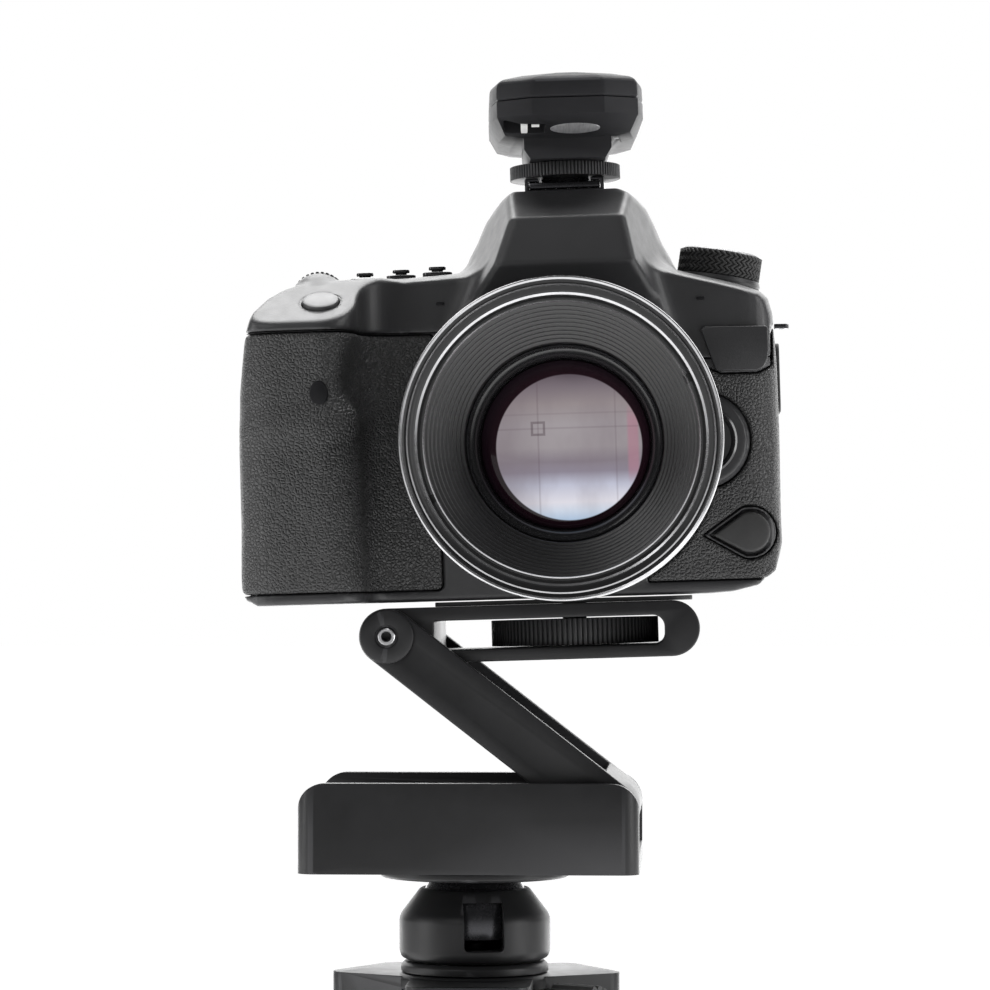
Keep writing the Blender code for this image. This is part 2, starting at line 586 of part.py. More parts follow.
def top_cover():
    low = CAM_SHOULDER + GAP
    deck = [(-84.4, low), (-83.2, 74.5), (-80.2, 79.6), (-76.0, 82.4), (-70.0, 84.0), (-58.0, 84.6), (-46.0, 84.9)]
    deck += [(-26.0, 86.0), (27.0, 86.0), (30.5, 84.9), (41.0, 82.9), (48.0, 81.4), (52.5, 79.6), (55.3, 76.0)]
    deck += [(56.0, low)]
    cover = piece("top_cover", slab(deck[::-1], "Y", -60.0, CAM_BACK), "plastic", camera)
    combine(cover, slab(plan(CAM_BACK, 0.0, CAM_FRONT - 1.0), "Z", low - 10.0, 120.0), "INTERSECT")
    slope = math.tan(math.radians(SHUTTER_SLOPE))
    front, foot_z = -44.5, 73.2
    rise = (front, foot_z), (-24.0, foot_z + slope * 20.5)
    wedge = [(-60.0, foot_z - 1.5), rise[0], rise[1], (-22.0, 100.0), (-60.0, 100.0)]
    combine(cover, slab(wedge, "X", -95.0, -30.0))
    hump = [(-22.0, 74.5), (-25.8, 80.0), (-25.6, 90.5), (-20.6, 100.4), (-15.6, 105.6), (-12.0, HUMP_TOP)]
    hump += [(15.0, HUMP_TOP), (19.4, 104.8), (24.2, 98.2), (28.6, 89.6), (29.0, 80.0), (25.0, 74.5)]
    nose = slab(hump[::-1], "Y", -60.0, 60.0)
    crown = piece("top_cover-hump", nose, "plastic", cover)
    side = [(-34.0, 70.0), (-34.0, 85.5), (-31.0, 98.5), (-16.0, HUMP_TOP + 0.1), (20.0, HUMP_TOP + 0.1)]
    side += [(27.0, 100.0), (27.0, 70.0)]
    combine(crown, slab(side[::-1], "X", -60.0, 60.0), "INTERSECT")
    crown.hide_render = True
    crown.display_type = "WIRE"
    modifier = cover.modifiers.new("Hump", "BOOLEAN")
    modifier.operation = "UNION"
    modifier.solver = "EXACT"
    modifier.object = crown
    combine(cover, block((LENS_X - 13.0, -12.0, 60.0), (LENS_X + 13.0, 16.0, 98.0)))
    eye = rounded((LENS_X - 9.0, 84.0), (LENS_X + 9.0, 98.0), (3, 3, 3, 3), 3)
    combine(cover, slab(eye, "Y", 18.0, 60.0))
    holes = block((-63.8 - 8.1, -18.5, 72.0), (-63.8 + 8.1, -9.5, 100.0))
    for x, top in TOP_BUTTONS:
        block((x - 4.1, -8.4, 80.0), (x + 4.1, -3.6, 100.0), holes)
    rod(5.05, -5.4, 12.0, 24, holes, shutter_spot)
    rod(4.3, -3.6, 3.0, 24, holes, mode_spot)
    combine(cover, holes)


TOP_BUTTONS = ((-52.6, 87.4), (-43.0, 87.9), (-33.4, 88.4))
shutter_at = (-61.8, -34.5, 79.1)
shutter_spot = Matrix.Translation(shutter_at) @ Matrix.Rotation(math.radians(SHUTTER_SLOPE), 4, "X")
mode_at = (40.7, 1.0, 83.7)
mode_spot = Matrix.Translation(mode_at) @ Matrix.Rotation(math.radians(10.0), 4, "Y")


def controls():
    button = [(0.0, -4.2), (4.75, -4.2), (4.75, 0.5), (4.1, 1.1), (0.0, 1.3)]
    piece("shutter_button", turned(button, 28), "gloss", camera, shutter_at, (SHUTTER_SLOPE, 0.0, 0.0))
    wheel = slab(toothed(DIAL_R - 0.5, DIAL_R, 16), "Z", -4.1, 4.1)
    piece("main_dial", wheel, "plastic", camera, (-63.8, -14.0, 80.3), (-90.0, 0.0, 0.0))
    crown = slab(toothed(MODE_R - 0.4, MODE_R, 24), "Z", 0.9, 7.2)
    dial = piece("mode_dial", crown, "plastic", camera, mode_at, (0.0, 10.0, 0.0))
    combine(dial, rod(4.0, -3.2, 5.0, 24), "UNION")
    for number, (x, top) in enumerate(TOP_BUTTONS, start=1):
        cap = rounded((-3.8, -2.1), (3.8, 2.1), (1.2, 1.2, 1.2, 1.2), 2)
        piece(f"top_button_{number}", slab(cap, "Z", -6.0, 0.0), "gloss", camera, (x, -6.0, top))
    seat = HUMP_TOP + GAP
    shoe = [(-10.5, seat), (10.5, seat), (10.5, SHOE_TOP), (6.9, SHOE_TOP), (6.9, SHOE_TOP - 0.8)]
    shoe += [(9.5, SHOE_TOP - 0.8), (9.5, seat + 0.9), (-9.5, seat + 0.9), (-9.5, SHOE_TOP - 0.8)]
    shoe += [(-6.9, SHOE_TOP - 0.8), (-6.9, SHOE_TOP), (-10.5, SHOE_TOP)]
    piece("hot_shoe", slab(shoe, "Y", -9.0, 9.0), "steel", camera, (LENS_X, SHOE_Y, 0.0))
    cup = rounded((-16.0, 82.0), (16.0, 103.0), (5, 5, 5, 5), 4)
    cup = slab(cup, "Y", 27.0 + GAP, 36.0)
    eyecup = piece("eyecup", cup, "rubber", camera, (LENS_X, 0.0, 0.0))
    combine(eyecup, slab(rounded((-10.0, 84.0), (10.0, 98.0), (3, 3, 3, 3), 3), "Y", 20.0, 50.0))


camera_body()
inside_parts()
top_cover()
controls()


# --- lens -----------------------------------------------------------------------------------------------------------

lens_frame = frame("lens", camera, (LENS_X, CAM_FRONT - 3.6, LENS_Z), (90.0, 0.0, 0.0))


def lens():
    outside = [
        (17.0, 0.0),
        (32.5, 0.0),
        (33.5, 1.0),
        (33.5, 9.0),
        (35.0, 11.0),
        (35.0, 21.7),
        (33.6, 21.7),
        (33.6, 42.3),
        (37.0, 42.3),
        (38.2, 46.0),
        (39.0, 52.0),
        (39.0, 70.2),
        (38.4, 71.2),
        (36.2, 71.2),
    ]
    steps = []
    ridges = 4
    depth = 25.0
    for ridge in range(ridges):
        radius = 35.2 - (35.2 - 24.6) * ridge / ridges
        steps.append((radius, 70.0 - depth * ridge / ridges))
        steps.append((radius, 70.0 - depth * (ridge + 1) / ridges))
    inside = steps + [(24.0, 45.0), (24.0, 38.0), (17.0, 36.0)]
    piece("lens_barrel", turned(outside + inside, 36, ring=True), "plastic", lens_frame)
    ring = [(33.9, 22.0), (36.4, 22.0), (37.0, 22.6), (37.0, 41.4), (36.4, 42.0), (33.9, 42.0)]
    piece("focus_ring", turned(ring, 32, ring=True), "rubber", lens_frame)
    front = [(0.0, 39.5), (22.0, 41.0), (23.7, 41.0), (23.7, 43.0)]
    front += [(23.7 * math.cos(math.radians(a)), 43.0 + 4.0 * math.sin(math.radians(a))) for a in (30, 60)]
    piece("front_element", turned(front + [(0.0, 47.0)], 28), "glass", lens_frame)
    rear = [(0.0, 3.0), (16.7, 4.5), (16.7, 7.0), (8.0, 9.2), (0.0, 9.8)]
    piece("rear_element", turned(rear, 20), "glass", lens_frame)


lens()


# --- flash trigger --------------------------------------------------------------------------------------------------

trigger = frame("trigger", camera, (TRIGGER_X, SHOE_Y, 0.0))


def shell_ring(height, half, front, back, corner):
    """A level outline of the trigger's shell: a faceted front, swelling sides and a chamfered back."""
    right = [(half - 10.8, front), (half - 1.8, front + corner), (half, front + 17.0), (half, back - 8.0)]
    right += [(half - 3.5, back)]
    return [(x, y, height) for x, y in right + [(-x, y) for x, y in reversed(right)]]


def loft(rings):
    """A closed skin through a stack of rings with the same number of points."""
    shape = bmesh.new()
    stack = [[shape.verts.new(spot) for spot in ring] for ring in rings]
    count = len(rings[0])
    for low, high in zip(stack, stack[1:]):
        for i in range(count):
            j = (i + 1) % count
            shape.faces.new((low[i], low[j], high[j], high[i]))
    shape.faces.new(stack[0][::-1])
    shape.faces.new(stack[-1])
    bmesh.ops.recalc_face_normals(shape, faces=shape.faces)
    return shape


def flash_trigger():
    centre = (LENS_X - TRIGGER_X, 0.0, 0.0)
    floor = HUMP_TOP + GAP + 0.9
    foot = block((-9.2, -8.8, floor + GAP), (9.2, 8.8, floor + GAP + 1.6))
    stem = piece("trigger_foot", foot, "steel", trigger, centre)
    combine(stem, rod(6.2, floor + 1.0, 119.0, 24), "UNION")
    low = SHOE_TOP + GAP
    high = NECK_BOTTOM - GAP
    ring = [(6.5, low), (14.2, low), (14.7, low + 0.5), (14.7, high - 0.5), (14.2, high), (6.5, high)]
    piece("trigger_lock_ring", turned(ring, 32, ring=True), "alloy", trigger, centre)

    tub = [shell_ring(120.9, 15.0, -18.0, 24.0, 0.6), shell_ring(121.6, 18.2, -20.0, 27.0, 1.0)]
    tub += [shell_ring(z, 20.2, -30.0, 30.0, 5.5) for z in (125.7, TRIGGER_SEAM - GAP / 2)]
    lower = piece("trigger_lower_shell", loft(tub), "plastic", body)
    neck = [(-9.9, NECK_BOTTOM), (9.9, NECK_BOTTOM), (11.5, 118.0), (11.5, 121.5), (-11.5, 121.5), (-11.5, 118.0)]
    combine(lower, slab(neck, "Y", -18.0, 16.0), "UNION")
    combine(lower, block((-15.0, -16.0, 122.2), (15.0, 26.0, 140.0)))
    hole = Matrix.Rotation(math.radians(-TRIGGER_YAW), 4, "Z") @ Matrix.Translation(centre)
    combine(lower, rod(6.2 + GAP, 110.0, 125.0, 24, None, hole))
    facing = Matrix.Translation(SWITCH_AT) @ Matrix.Rotation(math.radians(SWITCH_LEAN), 4, "X")
    combine(lower, block((-5.5, -4.0, -2.3), (5.5, 4.4, 2.3), None, facing))
    knob = block((-0.85, -0.2, -1.9), (0.85, 4.1, 1.9))
    piece("trigger_switch", knob, "white", body, SWITCH_AT, (SWITCH_LEAN, 0.0, 0.0))

    lid = [shell_ring(TRIGGER_SEAM + GAP / 2, 20.2, -30.0, 30.0, 5.5), shell_ring(134.6, 20.0, -29.8, 29.8, 5.5)]
    lid += [shell_ring(135.6, 18.8, -28.8, 28.8, 5.0), shell_ring(TRIGGER_TOP, 12.5, -26.0, 27.0, 4.0)]
    upper = piece("trigger_upper_shell", loft(lid), "plastic", body)
    combine(upper, block((-15.0, -21.0, 120.0), (15.0, 24.0, 134.4)))


NECK_BOTTOM = 115.5
SWITCH_AT = (-11.4, -22.8, 122.75)
SWITCH_LEAN = 67.7
body = frame("trigger_body", trigger, (0.0, 0.0, 0.0), (0.0, 0.0, TRIGGER_YAW))
flash_trigger()
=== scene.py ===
import functools
import json
import math

import bmesh
import bpy
import numpy as np
import openvdb
from mathutils import Matrix, Vector

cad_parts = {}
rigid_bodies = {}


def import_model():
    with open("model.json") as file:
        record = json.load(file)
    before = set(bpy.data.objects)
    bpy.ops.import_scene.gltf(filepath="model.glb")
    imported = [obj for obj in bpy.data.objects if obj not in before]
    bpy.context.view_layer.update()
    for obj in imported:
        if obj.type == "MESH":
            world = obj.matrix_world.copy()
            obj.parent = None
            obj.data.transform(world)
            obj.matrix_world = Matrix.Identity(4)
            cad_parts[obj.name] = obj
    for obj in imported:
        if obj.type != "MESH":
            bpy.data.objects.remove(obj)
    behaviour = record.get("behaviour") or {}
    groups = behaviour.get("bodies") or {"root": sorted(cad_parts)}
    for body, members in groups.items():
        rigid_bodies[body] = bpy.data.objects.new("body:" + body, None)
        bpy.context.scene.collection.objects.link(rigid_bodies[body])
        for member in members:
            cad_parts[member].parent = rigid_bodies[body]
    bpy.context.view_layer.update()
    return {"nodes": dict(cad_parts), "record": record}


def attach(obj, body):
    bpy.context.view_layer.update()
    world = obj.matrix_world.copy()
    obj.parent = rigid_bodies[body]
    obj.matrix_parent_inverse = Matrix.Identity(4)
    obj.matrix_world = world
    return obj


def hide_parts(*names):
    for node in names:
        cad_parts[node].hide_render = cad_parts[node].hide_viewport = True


for old in list(bpy.data.objects):
    bpy.data.objects.remove(old, do_unlink=True)

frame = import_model()
NODES = frame["nodes"]
MM = 0.001
SCENE = bpy.context.scene

# --- the object's own frames, in millimetres --------------------------------------------------------------------------

LEG_SPREAD, LEG_HINGE_R, LEG_HINGE_Z, LEG_REACH = 22.0, 30.0, -110.5, 306.0
LEG_AZIMUTHS = (-90, 30, 150)
BALL_Z, BASE_Z = -84.3, -70.4
BASE_HINGE_X, BASE_HINGE_H, LINK_SPAN, LINK_R = 36.75, 16.05, 73.2, 7.25
FOLD_ANGLE, CAMERA_ROLL = 37.8, 1.7
SCREW_X, CAM_LIFT = 47.7, 8.45
LENS_X, LENS_Z, CAM_FRONT = 0.9, 38.4, -20.0
TRIGGER_X, SHOE_Y, TRIGGER_TURN = 1.3, 4.0, 3.5


def move(x, y, z):
    return Matrix.Translation((x, y, z))


def spin(angle, axis):
    return Matrix.Rotation(math.radians(angle), 4, axis)


foot_out = LEG_HINGE_R + LEG_REACH * math.sin(math.radians(LEG_SPREAD))
floor_drop = LEG_REACH * math.cos(math.radians(LEG_SPREAD)) - LEG_HINGE_Z
STAND = move(0, foot_out / 4, floor_drop)
BALL = STAND @ move(0, 0, BALL_Z)
BASE = STAND @ move(0, 0, BASE_Z)
ARM = BASE @ move(BASE_HINGE_X, 0, BASE_HINGE_H) @ spin(FOLD_ANGLE, "Y")
PLATE = ARM @ move(-LINK_SPAN, 0, 0) @ spin(-FOLD_ANGLE - CAMERA_ROLL, "Y")
CAMERA = PLATE @ move(SCREW_X, 0, CAM_LIFT)
LENS = CAMERA @ move(LENS_X, CAM_FRONT - 3.6, LENS_Z) @ spin(90, "X")
TRIGGER = CAMERA @ move(TRIGGER_X, SHOE_Y, 0)
LEGS = {}
for number, azimuth in enumerate(LEG_AZIMUTHS, start=1):
    turn = math.radians(azimuth)
    spot = move(LEG_HINGE_R * math.cos(turn), LEG_HINGE_R * math.sin(turn), LEG_HINGE_Z)
    LEGS[number] = STAND @ spot @ spin(azimuth, "Z") @ spin(-LEG_SPREAD, "Y")

# --- camera and light -------------------------------------------------------------------------------------------------

# Focal length in pixels of a 990-pixel picture, and the place of the eye before the tripod's shoulder.
FOCAL_PX, PICTURE_PX, SENSOR_MM = 3695.0, 990.0, 36.0
eye = STAND @ Vector((56.7, -980.0, 0.0))
aim = Vector((-193.6, FOCAL_PX, 105.0)).normalized()
lens_data = bpy.data.cameras.new("viewer")
lens_data.sensor_width = SENSOR_MM
lens_data.lens = FOCAL_PX * SENSOR_MM / PICTURE_PX
lens_data.clip_start = 0.02
lens_data.clip_end = 60.0
viewer = bpy.data.objects.new("viewer", lens_data)
viewer.location = eye * MM
viewer.rotation_euler = aim.to_track_quat("-Z", "Y").to_euler()
SCENE.collection.objects.link(viewer)
SCENE.camera = viewer
SCENE.view_settings.view_transform = "Standard"
SCENE.view_settings.look = "None"


def area(name, spot, power, wide, tall=None):
    """A lamp aimed at the camera body; rectangular if it has a height of its own."""
    data = bpy.data.lights.new(name, "AREA")
    data.energy = power
    data.size = wide
    if tall:
        data.shape = "RECTANGLE"
        data.size_y = tall
    lamp = bpy.data.objects.new(name, data)
    lamp.location = spot
    lamp.rotation_euler = (Vector((0.02, 0.03, 0.43)) - Vector(spot)).to_track_quat("-Z", "Y").to_euler()
    lamp.visible_camera = False
    SCENE.collection.objects.link(lamp)


area("back_wall", (0.1, 1.5, 0.75), 52, 2.8, 2.0)
area("top_softbox", (0.05, 0.4, 1.45), 34, 1.2, 0.9)
area("left_strip", (-1.35, -0.25, 0.65), 10, 0.4, 1.4)
area("right_strip", (1.45, -0.35, 0.65), 15, 0.4, 1.4)
area("front_fill", (-0.9, -1.5, 1.5), 9, 0.9, 0.9)

# A dim world lights the object, and a white one is what the camera sees behind it.
world = bpy.data.worlds.new("studio")
world.use_nodes = True
SCENE.world = world
tree = world.node_tree
mix = tree.nodes.new("ShaderNodeMixShader")
seen = tree.nodes.new("ShaderNodeLightPath").outputs["Is Camera Ray"]
tree.links.new(seen, mix.inputs["Fac"])
for socket, shade, strength in ((1, tree.nodes["Background"], 0.12), (2, tree.nodes.new("ShaderNodeBackground"), 1)):
    shade.inputs["Color"].default_value = (1, 1, 1, 1)
    shade.inputs["Strength"].default_value = strength
    tree.links.new(shade.outputs[0], mix.inputs[socket])
tree.links.new(mix.outputs[0], tree.nodes["World Output"].inputs["Surface"])

# --- materials --------------------------------------------------------------------------------------------------------


class Look:
    """A procedural material: the shader's own constants, then layers of colour, roughness and bump."""

    def __init__(self, name, colour, roughness, metallic=0.0, **shader):
        self.material = bpy.data.materials.new(name)
        self.material.use_nodes = True
        self.tree = self.material.node_tree
        self.shader = self.tree.nodes["Principled BSDF"]
        self.shader.inputs["Base Color"].default_value = (*colour, 1)
        self.shader.inputs["Roughness"].default_value = roughness
        self.shader.inputs["Metallic"].default_value = metallic
        for socket, value in shader.items():
            self.shader.inputs[socket.replace("_", " ")].default_value = value
        self.place = self.node("ShaderNodeTexCoord").outputs["Object"]
        self.paint = colour
        self.normal = None

    def node(self, kind, links=(), **settings):
        """A shader node. Settings named like its sockets become their values, and the rest its properties."""
        made = self.tree.nodes.new(kind)
        for key, value in settings.items():
            socket = key.replace("_", " ")
            if socket in made.inputs:
                made.inputs[socket].default_value = value
            else:
                setattr(made, key, value)
        for socket, source in links:
            self.tree.links.new(source, made.inputs[socket])
        return made

    def noise(self, scale, detail=3, stretch=None):
        place = self.place
        if stretch:
            place = self.node("ShaderNodeMapping", [("Vector", place)], Scale=stretch).outputs[0]
        made = self.node("ShaderNodeTexNoise", [("Vector", place)], Scale=scale, Detail=detail, Roughness=0.55)
        return made.outputs["Fac"]

    def cells(self, scale, feature="F1"):
        made = self.node("ShaderNodeTexVoronoi", [("Vector", self.place)], feature=feature, Scale=scale)
        return made.outputs["Distance"]

    def ramp(self, source, stops):
        """A colour ramp. A stop's shade is a grey value or a colour."""
        made = self.node("ShaderNodeValToRGB", [("Fac", source)])
        marks = made.color_ramp.elements
        shades = [(at, (*(shade if isinstance(shade, tuple) else (shade,) * 3), 1)) for at, shade in stops]
        marks[0].position, marks[0].color = shades[0]
        marks[1].position, marks[1].color = shades[-1]
        for at, shade in shades[1:-1]:
            marks.new(at).color = shade
        return made.outputs["Color"]

    def mixed(self, below, mask, above):
        """Mixes two colours, each a socket or a constant: the second shows where the mask is white."""
        made = self.node("ShaderNodeMix", data_type="RGBA")
        for index, colour in ((6, below), (7, above)):
            if isinstance(colour, tuple):
                made.inputs[index].default_value = (*colour, 1)
            else:
                self.tree.links.new(colour, made.inputs[index])
        self.tree.links.new(mask, made.inputs[0])
        return made.outputs[2]

    def tint(self, mask, colour):
        self.paint = self.mixed(self.paint, mask, colour)
        self.tree.links.new(self.paint, self.shader.inputs["Base Color"])

    def lighten_edges(self, colour, amount):
        """Lighter colour on the sharpest edges, from how far the surface bends."""
        bend = self.node("ShaderNodeNewGeometry").outputs["Pointiness"]
        self.tint(self.ramp(bend, [(0.52, 0), (0.58, amount)]), colour)

    def roughen(self, mask, low, high):
        made = self.node("ShaderNodeMapRange", [("Value", mask)], To_Min=low, To_Max=high)
        self.tree.links.new(made.outputs[0], self.shader.inputs["Roughness"])

    def bump(self, height, depth_mm, strength):
        made = self.node("ShaderNodeBump", [("Height", height)], Strength=strength, Distance=depth_mm * MM)
        if self.normal is not None:
            self.tree.links.new(self.normal, made.inputs["Normal"])
        self.normal = made.outputs["Normal"]
        self.tree.links.new(self.normal, self.shader.inputs["Normal"])

    def around_axis(self, place):
        """A place's two coordinates across the axis, and its distance from it."""
        parts = self.node("ShaderNodeSeparateXYZ", [("Vector", place)]).outputs
        flat = self.node("ShaderNodeCombineXYZ", [("X", parts["X"]), ("Y", parts["Y"])]).outputs[0]
        far = self.node("ShaderNodeVectorMath", [(0, flat)], operation="LENGTH").outputs["Value"]
        return parts["X"], parts["Y"], far


def grey(value, blue):
    return (value, value, blue)


def surface(name, colour, roughness, metallic, clouds, gloss=None, relief=None, edge_tint=None, **shader):
    """The usual look. clouds: noise scale, detail, ramp start, ramp end, amount, second colour. gloss: noise scale,
    detail, least and greatest roughness. relief: noise scale, detail (0 for cells), depth in mm, strength. Each may
    end with a stretch. The last argument: the colour and amount by which the sharpest edges are made lighter."""
    look = Look(name, colour, roughness, metallic, **shader)
    scale, detail, start, end, amount, second, *stretch = clouds
    look.tint(look.ramp(look.noise(scale, detail, *stretch), [(start, 0), (end, amount)]), second)
    if edge_tint:
        look.lighten_edges(*edge_tint)
    if gloss:
        scale, detail, low, high, *stretch = gloss
        look.roughen(look.noise(scale, detail, *stretch), low, high)
    if relief:
        scale, detail, depth, strength, *stretch = relief
        look.bump(look.noise(scale, detail, *stretch) if detail else look.cells(scale), depth, strength)
    return look.material


def rubber(name):
    return surface(name, grey(0.015, 0.015), 0.72, 0, (120, 4, 0.35, 0.8, 0.6, grey(0.03, 0.031)),
                   (600, 3, 0.62, 0.82), (3500, 3, 0.04, 0.35))


def steel(name, tone):
    return surface(name, grey(tone, tone * 1.02), 0.28, 1,
                   (90, 4, 0.35, 0.8, 0.5, grey(tone * 0.72, tone * 0.72 * 1.02)),
                   (700, 2, 0.2, 0.4, (1, 1, 14)), (900, 2, 0.01, 0.2, (1, 1, 20)))


def leatherette():
    """The grip covering: irregular raised grains with fine valleys between them, the valleys painted darker as shade.
    """
    look = Look("leatherette", grey(0.017, 0.0175), 0.5)
    valley = look.cells(1050, "DISTANCE_TO_EDGE")
    grain = look.ramp(valley, [(0, 0), (0.14, 0.6), (0.4, 1)])
    # Painted shade: the valleys between the grains are darkened.
    look.tint(look.ramp(valley, [(0, 0.85), (0.14, 0)]), grey(0.006, 0.006))
    look.tint(look.ramp(look.noise(150), [(0.45, 0), (0.75, 0.5)]), grey(0.026, 0.027))
    look.roughen(look.noise(400), 0.4, 0.58)
    look.bump(grain, 0.26, 0.95)
    look.bump(look.noise(1900), 0.12, 0.6)
    return look.material


def ridged_plastic():
    """Matt black moulding inside and outside the lens, duller outside, with its finest edges painted lighter as painted
    highlights along the ridges.
    """
    look = Look("lens_plastic", grey(0.013, 0.0135), 0.38)
    far = look.around_axis(look.place)[2]
    shine = look.node("ShaderNodeMapRange", [("Value", far)], From_Min=33.9 * MM, From_Max=34.5 * MM, To_Min=0.5,
                      To_Max=0.16)
    look.tree.links.new(shine.outputs[0], look.shader.inputs["Specular IOR Level"])
    look.tint(look.ramp(look.noise(70), [(0.35, 0), (0.8, 0.5)]), grey(0.022, 0.023))
    # Painted highlight: the sharpest ridge edges are made lighter.
    look.lighten_edges(grey(0.1, 0.105), 0.3)
    look.roughen(look.noise(420), 0.3, 0.44)
    look.bump(look.noise(3800, 2), 0.015, 0.2)
    return look.material


def lens_glass():
    """The front glass as it looks face on, opaque, with a painted glow: the bright finder screen that would be seen
    through it is painted on the glass as emission, in a dark coated rim.
    """
    look = Look("lens_glass", (0.012, 0.006, 0.01), 0.06, Specular_IOR_Level=0.16, Coat_Weight=0.15)
    # The painted screen picture is set a little off the glass's centre.
    centred = look.node("ShaderNodeMapping", [("Vector", look.place)], Location=(-0.9 * MM, 0.8 * MM, 0))
    across_x, up, far = look.around_axis(centred.outputs[0])

    def ease(source, start, end, **kind):
        made = look.node("ShaderNodeMapRange", [("Value", source)], From_Min=start * MM, From_Max=end * MM, **kind)
        return made.outputs[0]

    def smooth(source, start, end):
        return ease(source, start, end, interpolation_type="SMOOTHSTEP")

    def join(kind, a, b):
        made = look.node("ShaderNodeMath", operation=kind)
        for index, item in enumerate((a, b)):
            if isinstance(item, (int, float)):
                made.inputs[index].default_value = item
            else:
                look.tree.links.new(item, made.inputs[index])
        return made.outputs[0]

    def away(source, at):
        return join("ABSOLUTE", join("SUBTRACT", source, at * MM), 0)

    def line(source, at, half):
        return join("SUBTRACT", 1, smooth(away(source, at), half * 0.5, half))

    # Painted glow: the lit finder screen as a coloured picture, palest and bluish near the bottom and dark at the top.
    painted_view = look.ramp(ease(up, -18, 18), [
        (0, (0.42, 0.56, 0.74)), (0.06, (0.62, 0.7, 0.82)), (0.12, (0.76, 0.75, 0.82)), (0.24, (0.54, 0.56, 0.68)),
        (0.33, (0.26, 0.24, 0.3)), (0.4, (0.24, 0.215, 0.25)), (0.5, (0.36, 0.335, 0.35)), (0.66, (0.37, 0.345, 0.36)),
        (0.8, (0.31, 0.275, 0.28)), (0.92, (0.19, 0.165, 0.185)), (1, (0.1, 0.085, 0.1))])
    blotch = look.ramp(look.noise(70, 3, (1.6, 0.8, 1)), [(0.4, 0), (0.75, 0.4)])
    # Painted shade: the picture is darker on the far left.
    painted_left_shade = join("SUBTRACT", 1, smooth(across_x, -17, -3))
    # Painted light: a reddish streak near the right edge of the picture.
    painted_pink_edge = join("MULTIPLY", line(across_x, 16, 1.8), line(up, 0.5, 11))
    square = line(join("MAXIMUM", away(across_x, -7.6), away(up, 4.8)), 1.5, 0.4)
    layers = [(blotch, 1, (0.2, 0.17, 0.19)), (painted_left_shade, 0.4, (0.17, 0.14, 0.16)), (painted_pink_edge, 0.55, (0.46, 0.2, 0.27))]
    for source, at, strength in ((across_x, -7.6, 0.24), (across_x, 11.7, 0.2), (up, 4.8, 0.2), (up, 8.4, 0.14)):
        layers.append((line(source, at, 0.3), strength, (0.1, 0.07, 0.09)))
    for mask, strength, shade in layers + [(square, 0.55, (0.09, 0.07, 0.08))]:
        painted_view = look.mixed(painted_view, join("MULTIPLY", mask, strength), shade)
    # The painted picture glows as emission within 18 mm of the centre, though the glass is no lamp.
    disc = join("SUBTRACT", 1, smooth(far, 18, 18.35))
    look.tree.links.new(look.mixed((0, 0, 0), disc, painted_view), look.shader.inputs["Emission Color"])
    look.shader.inputs["Emission Strength"].default_value = 0.92
    look.tint(join("SUBTRACT", 1, smooth(far, 18, 21.5)), (0.02, 0.007, 0.012))
    look.roughen(look.noise(300), 0.04, 0.08)
    return look.material


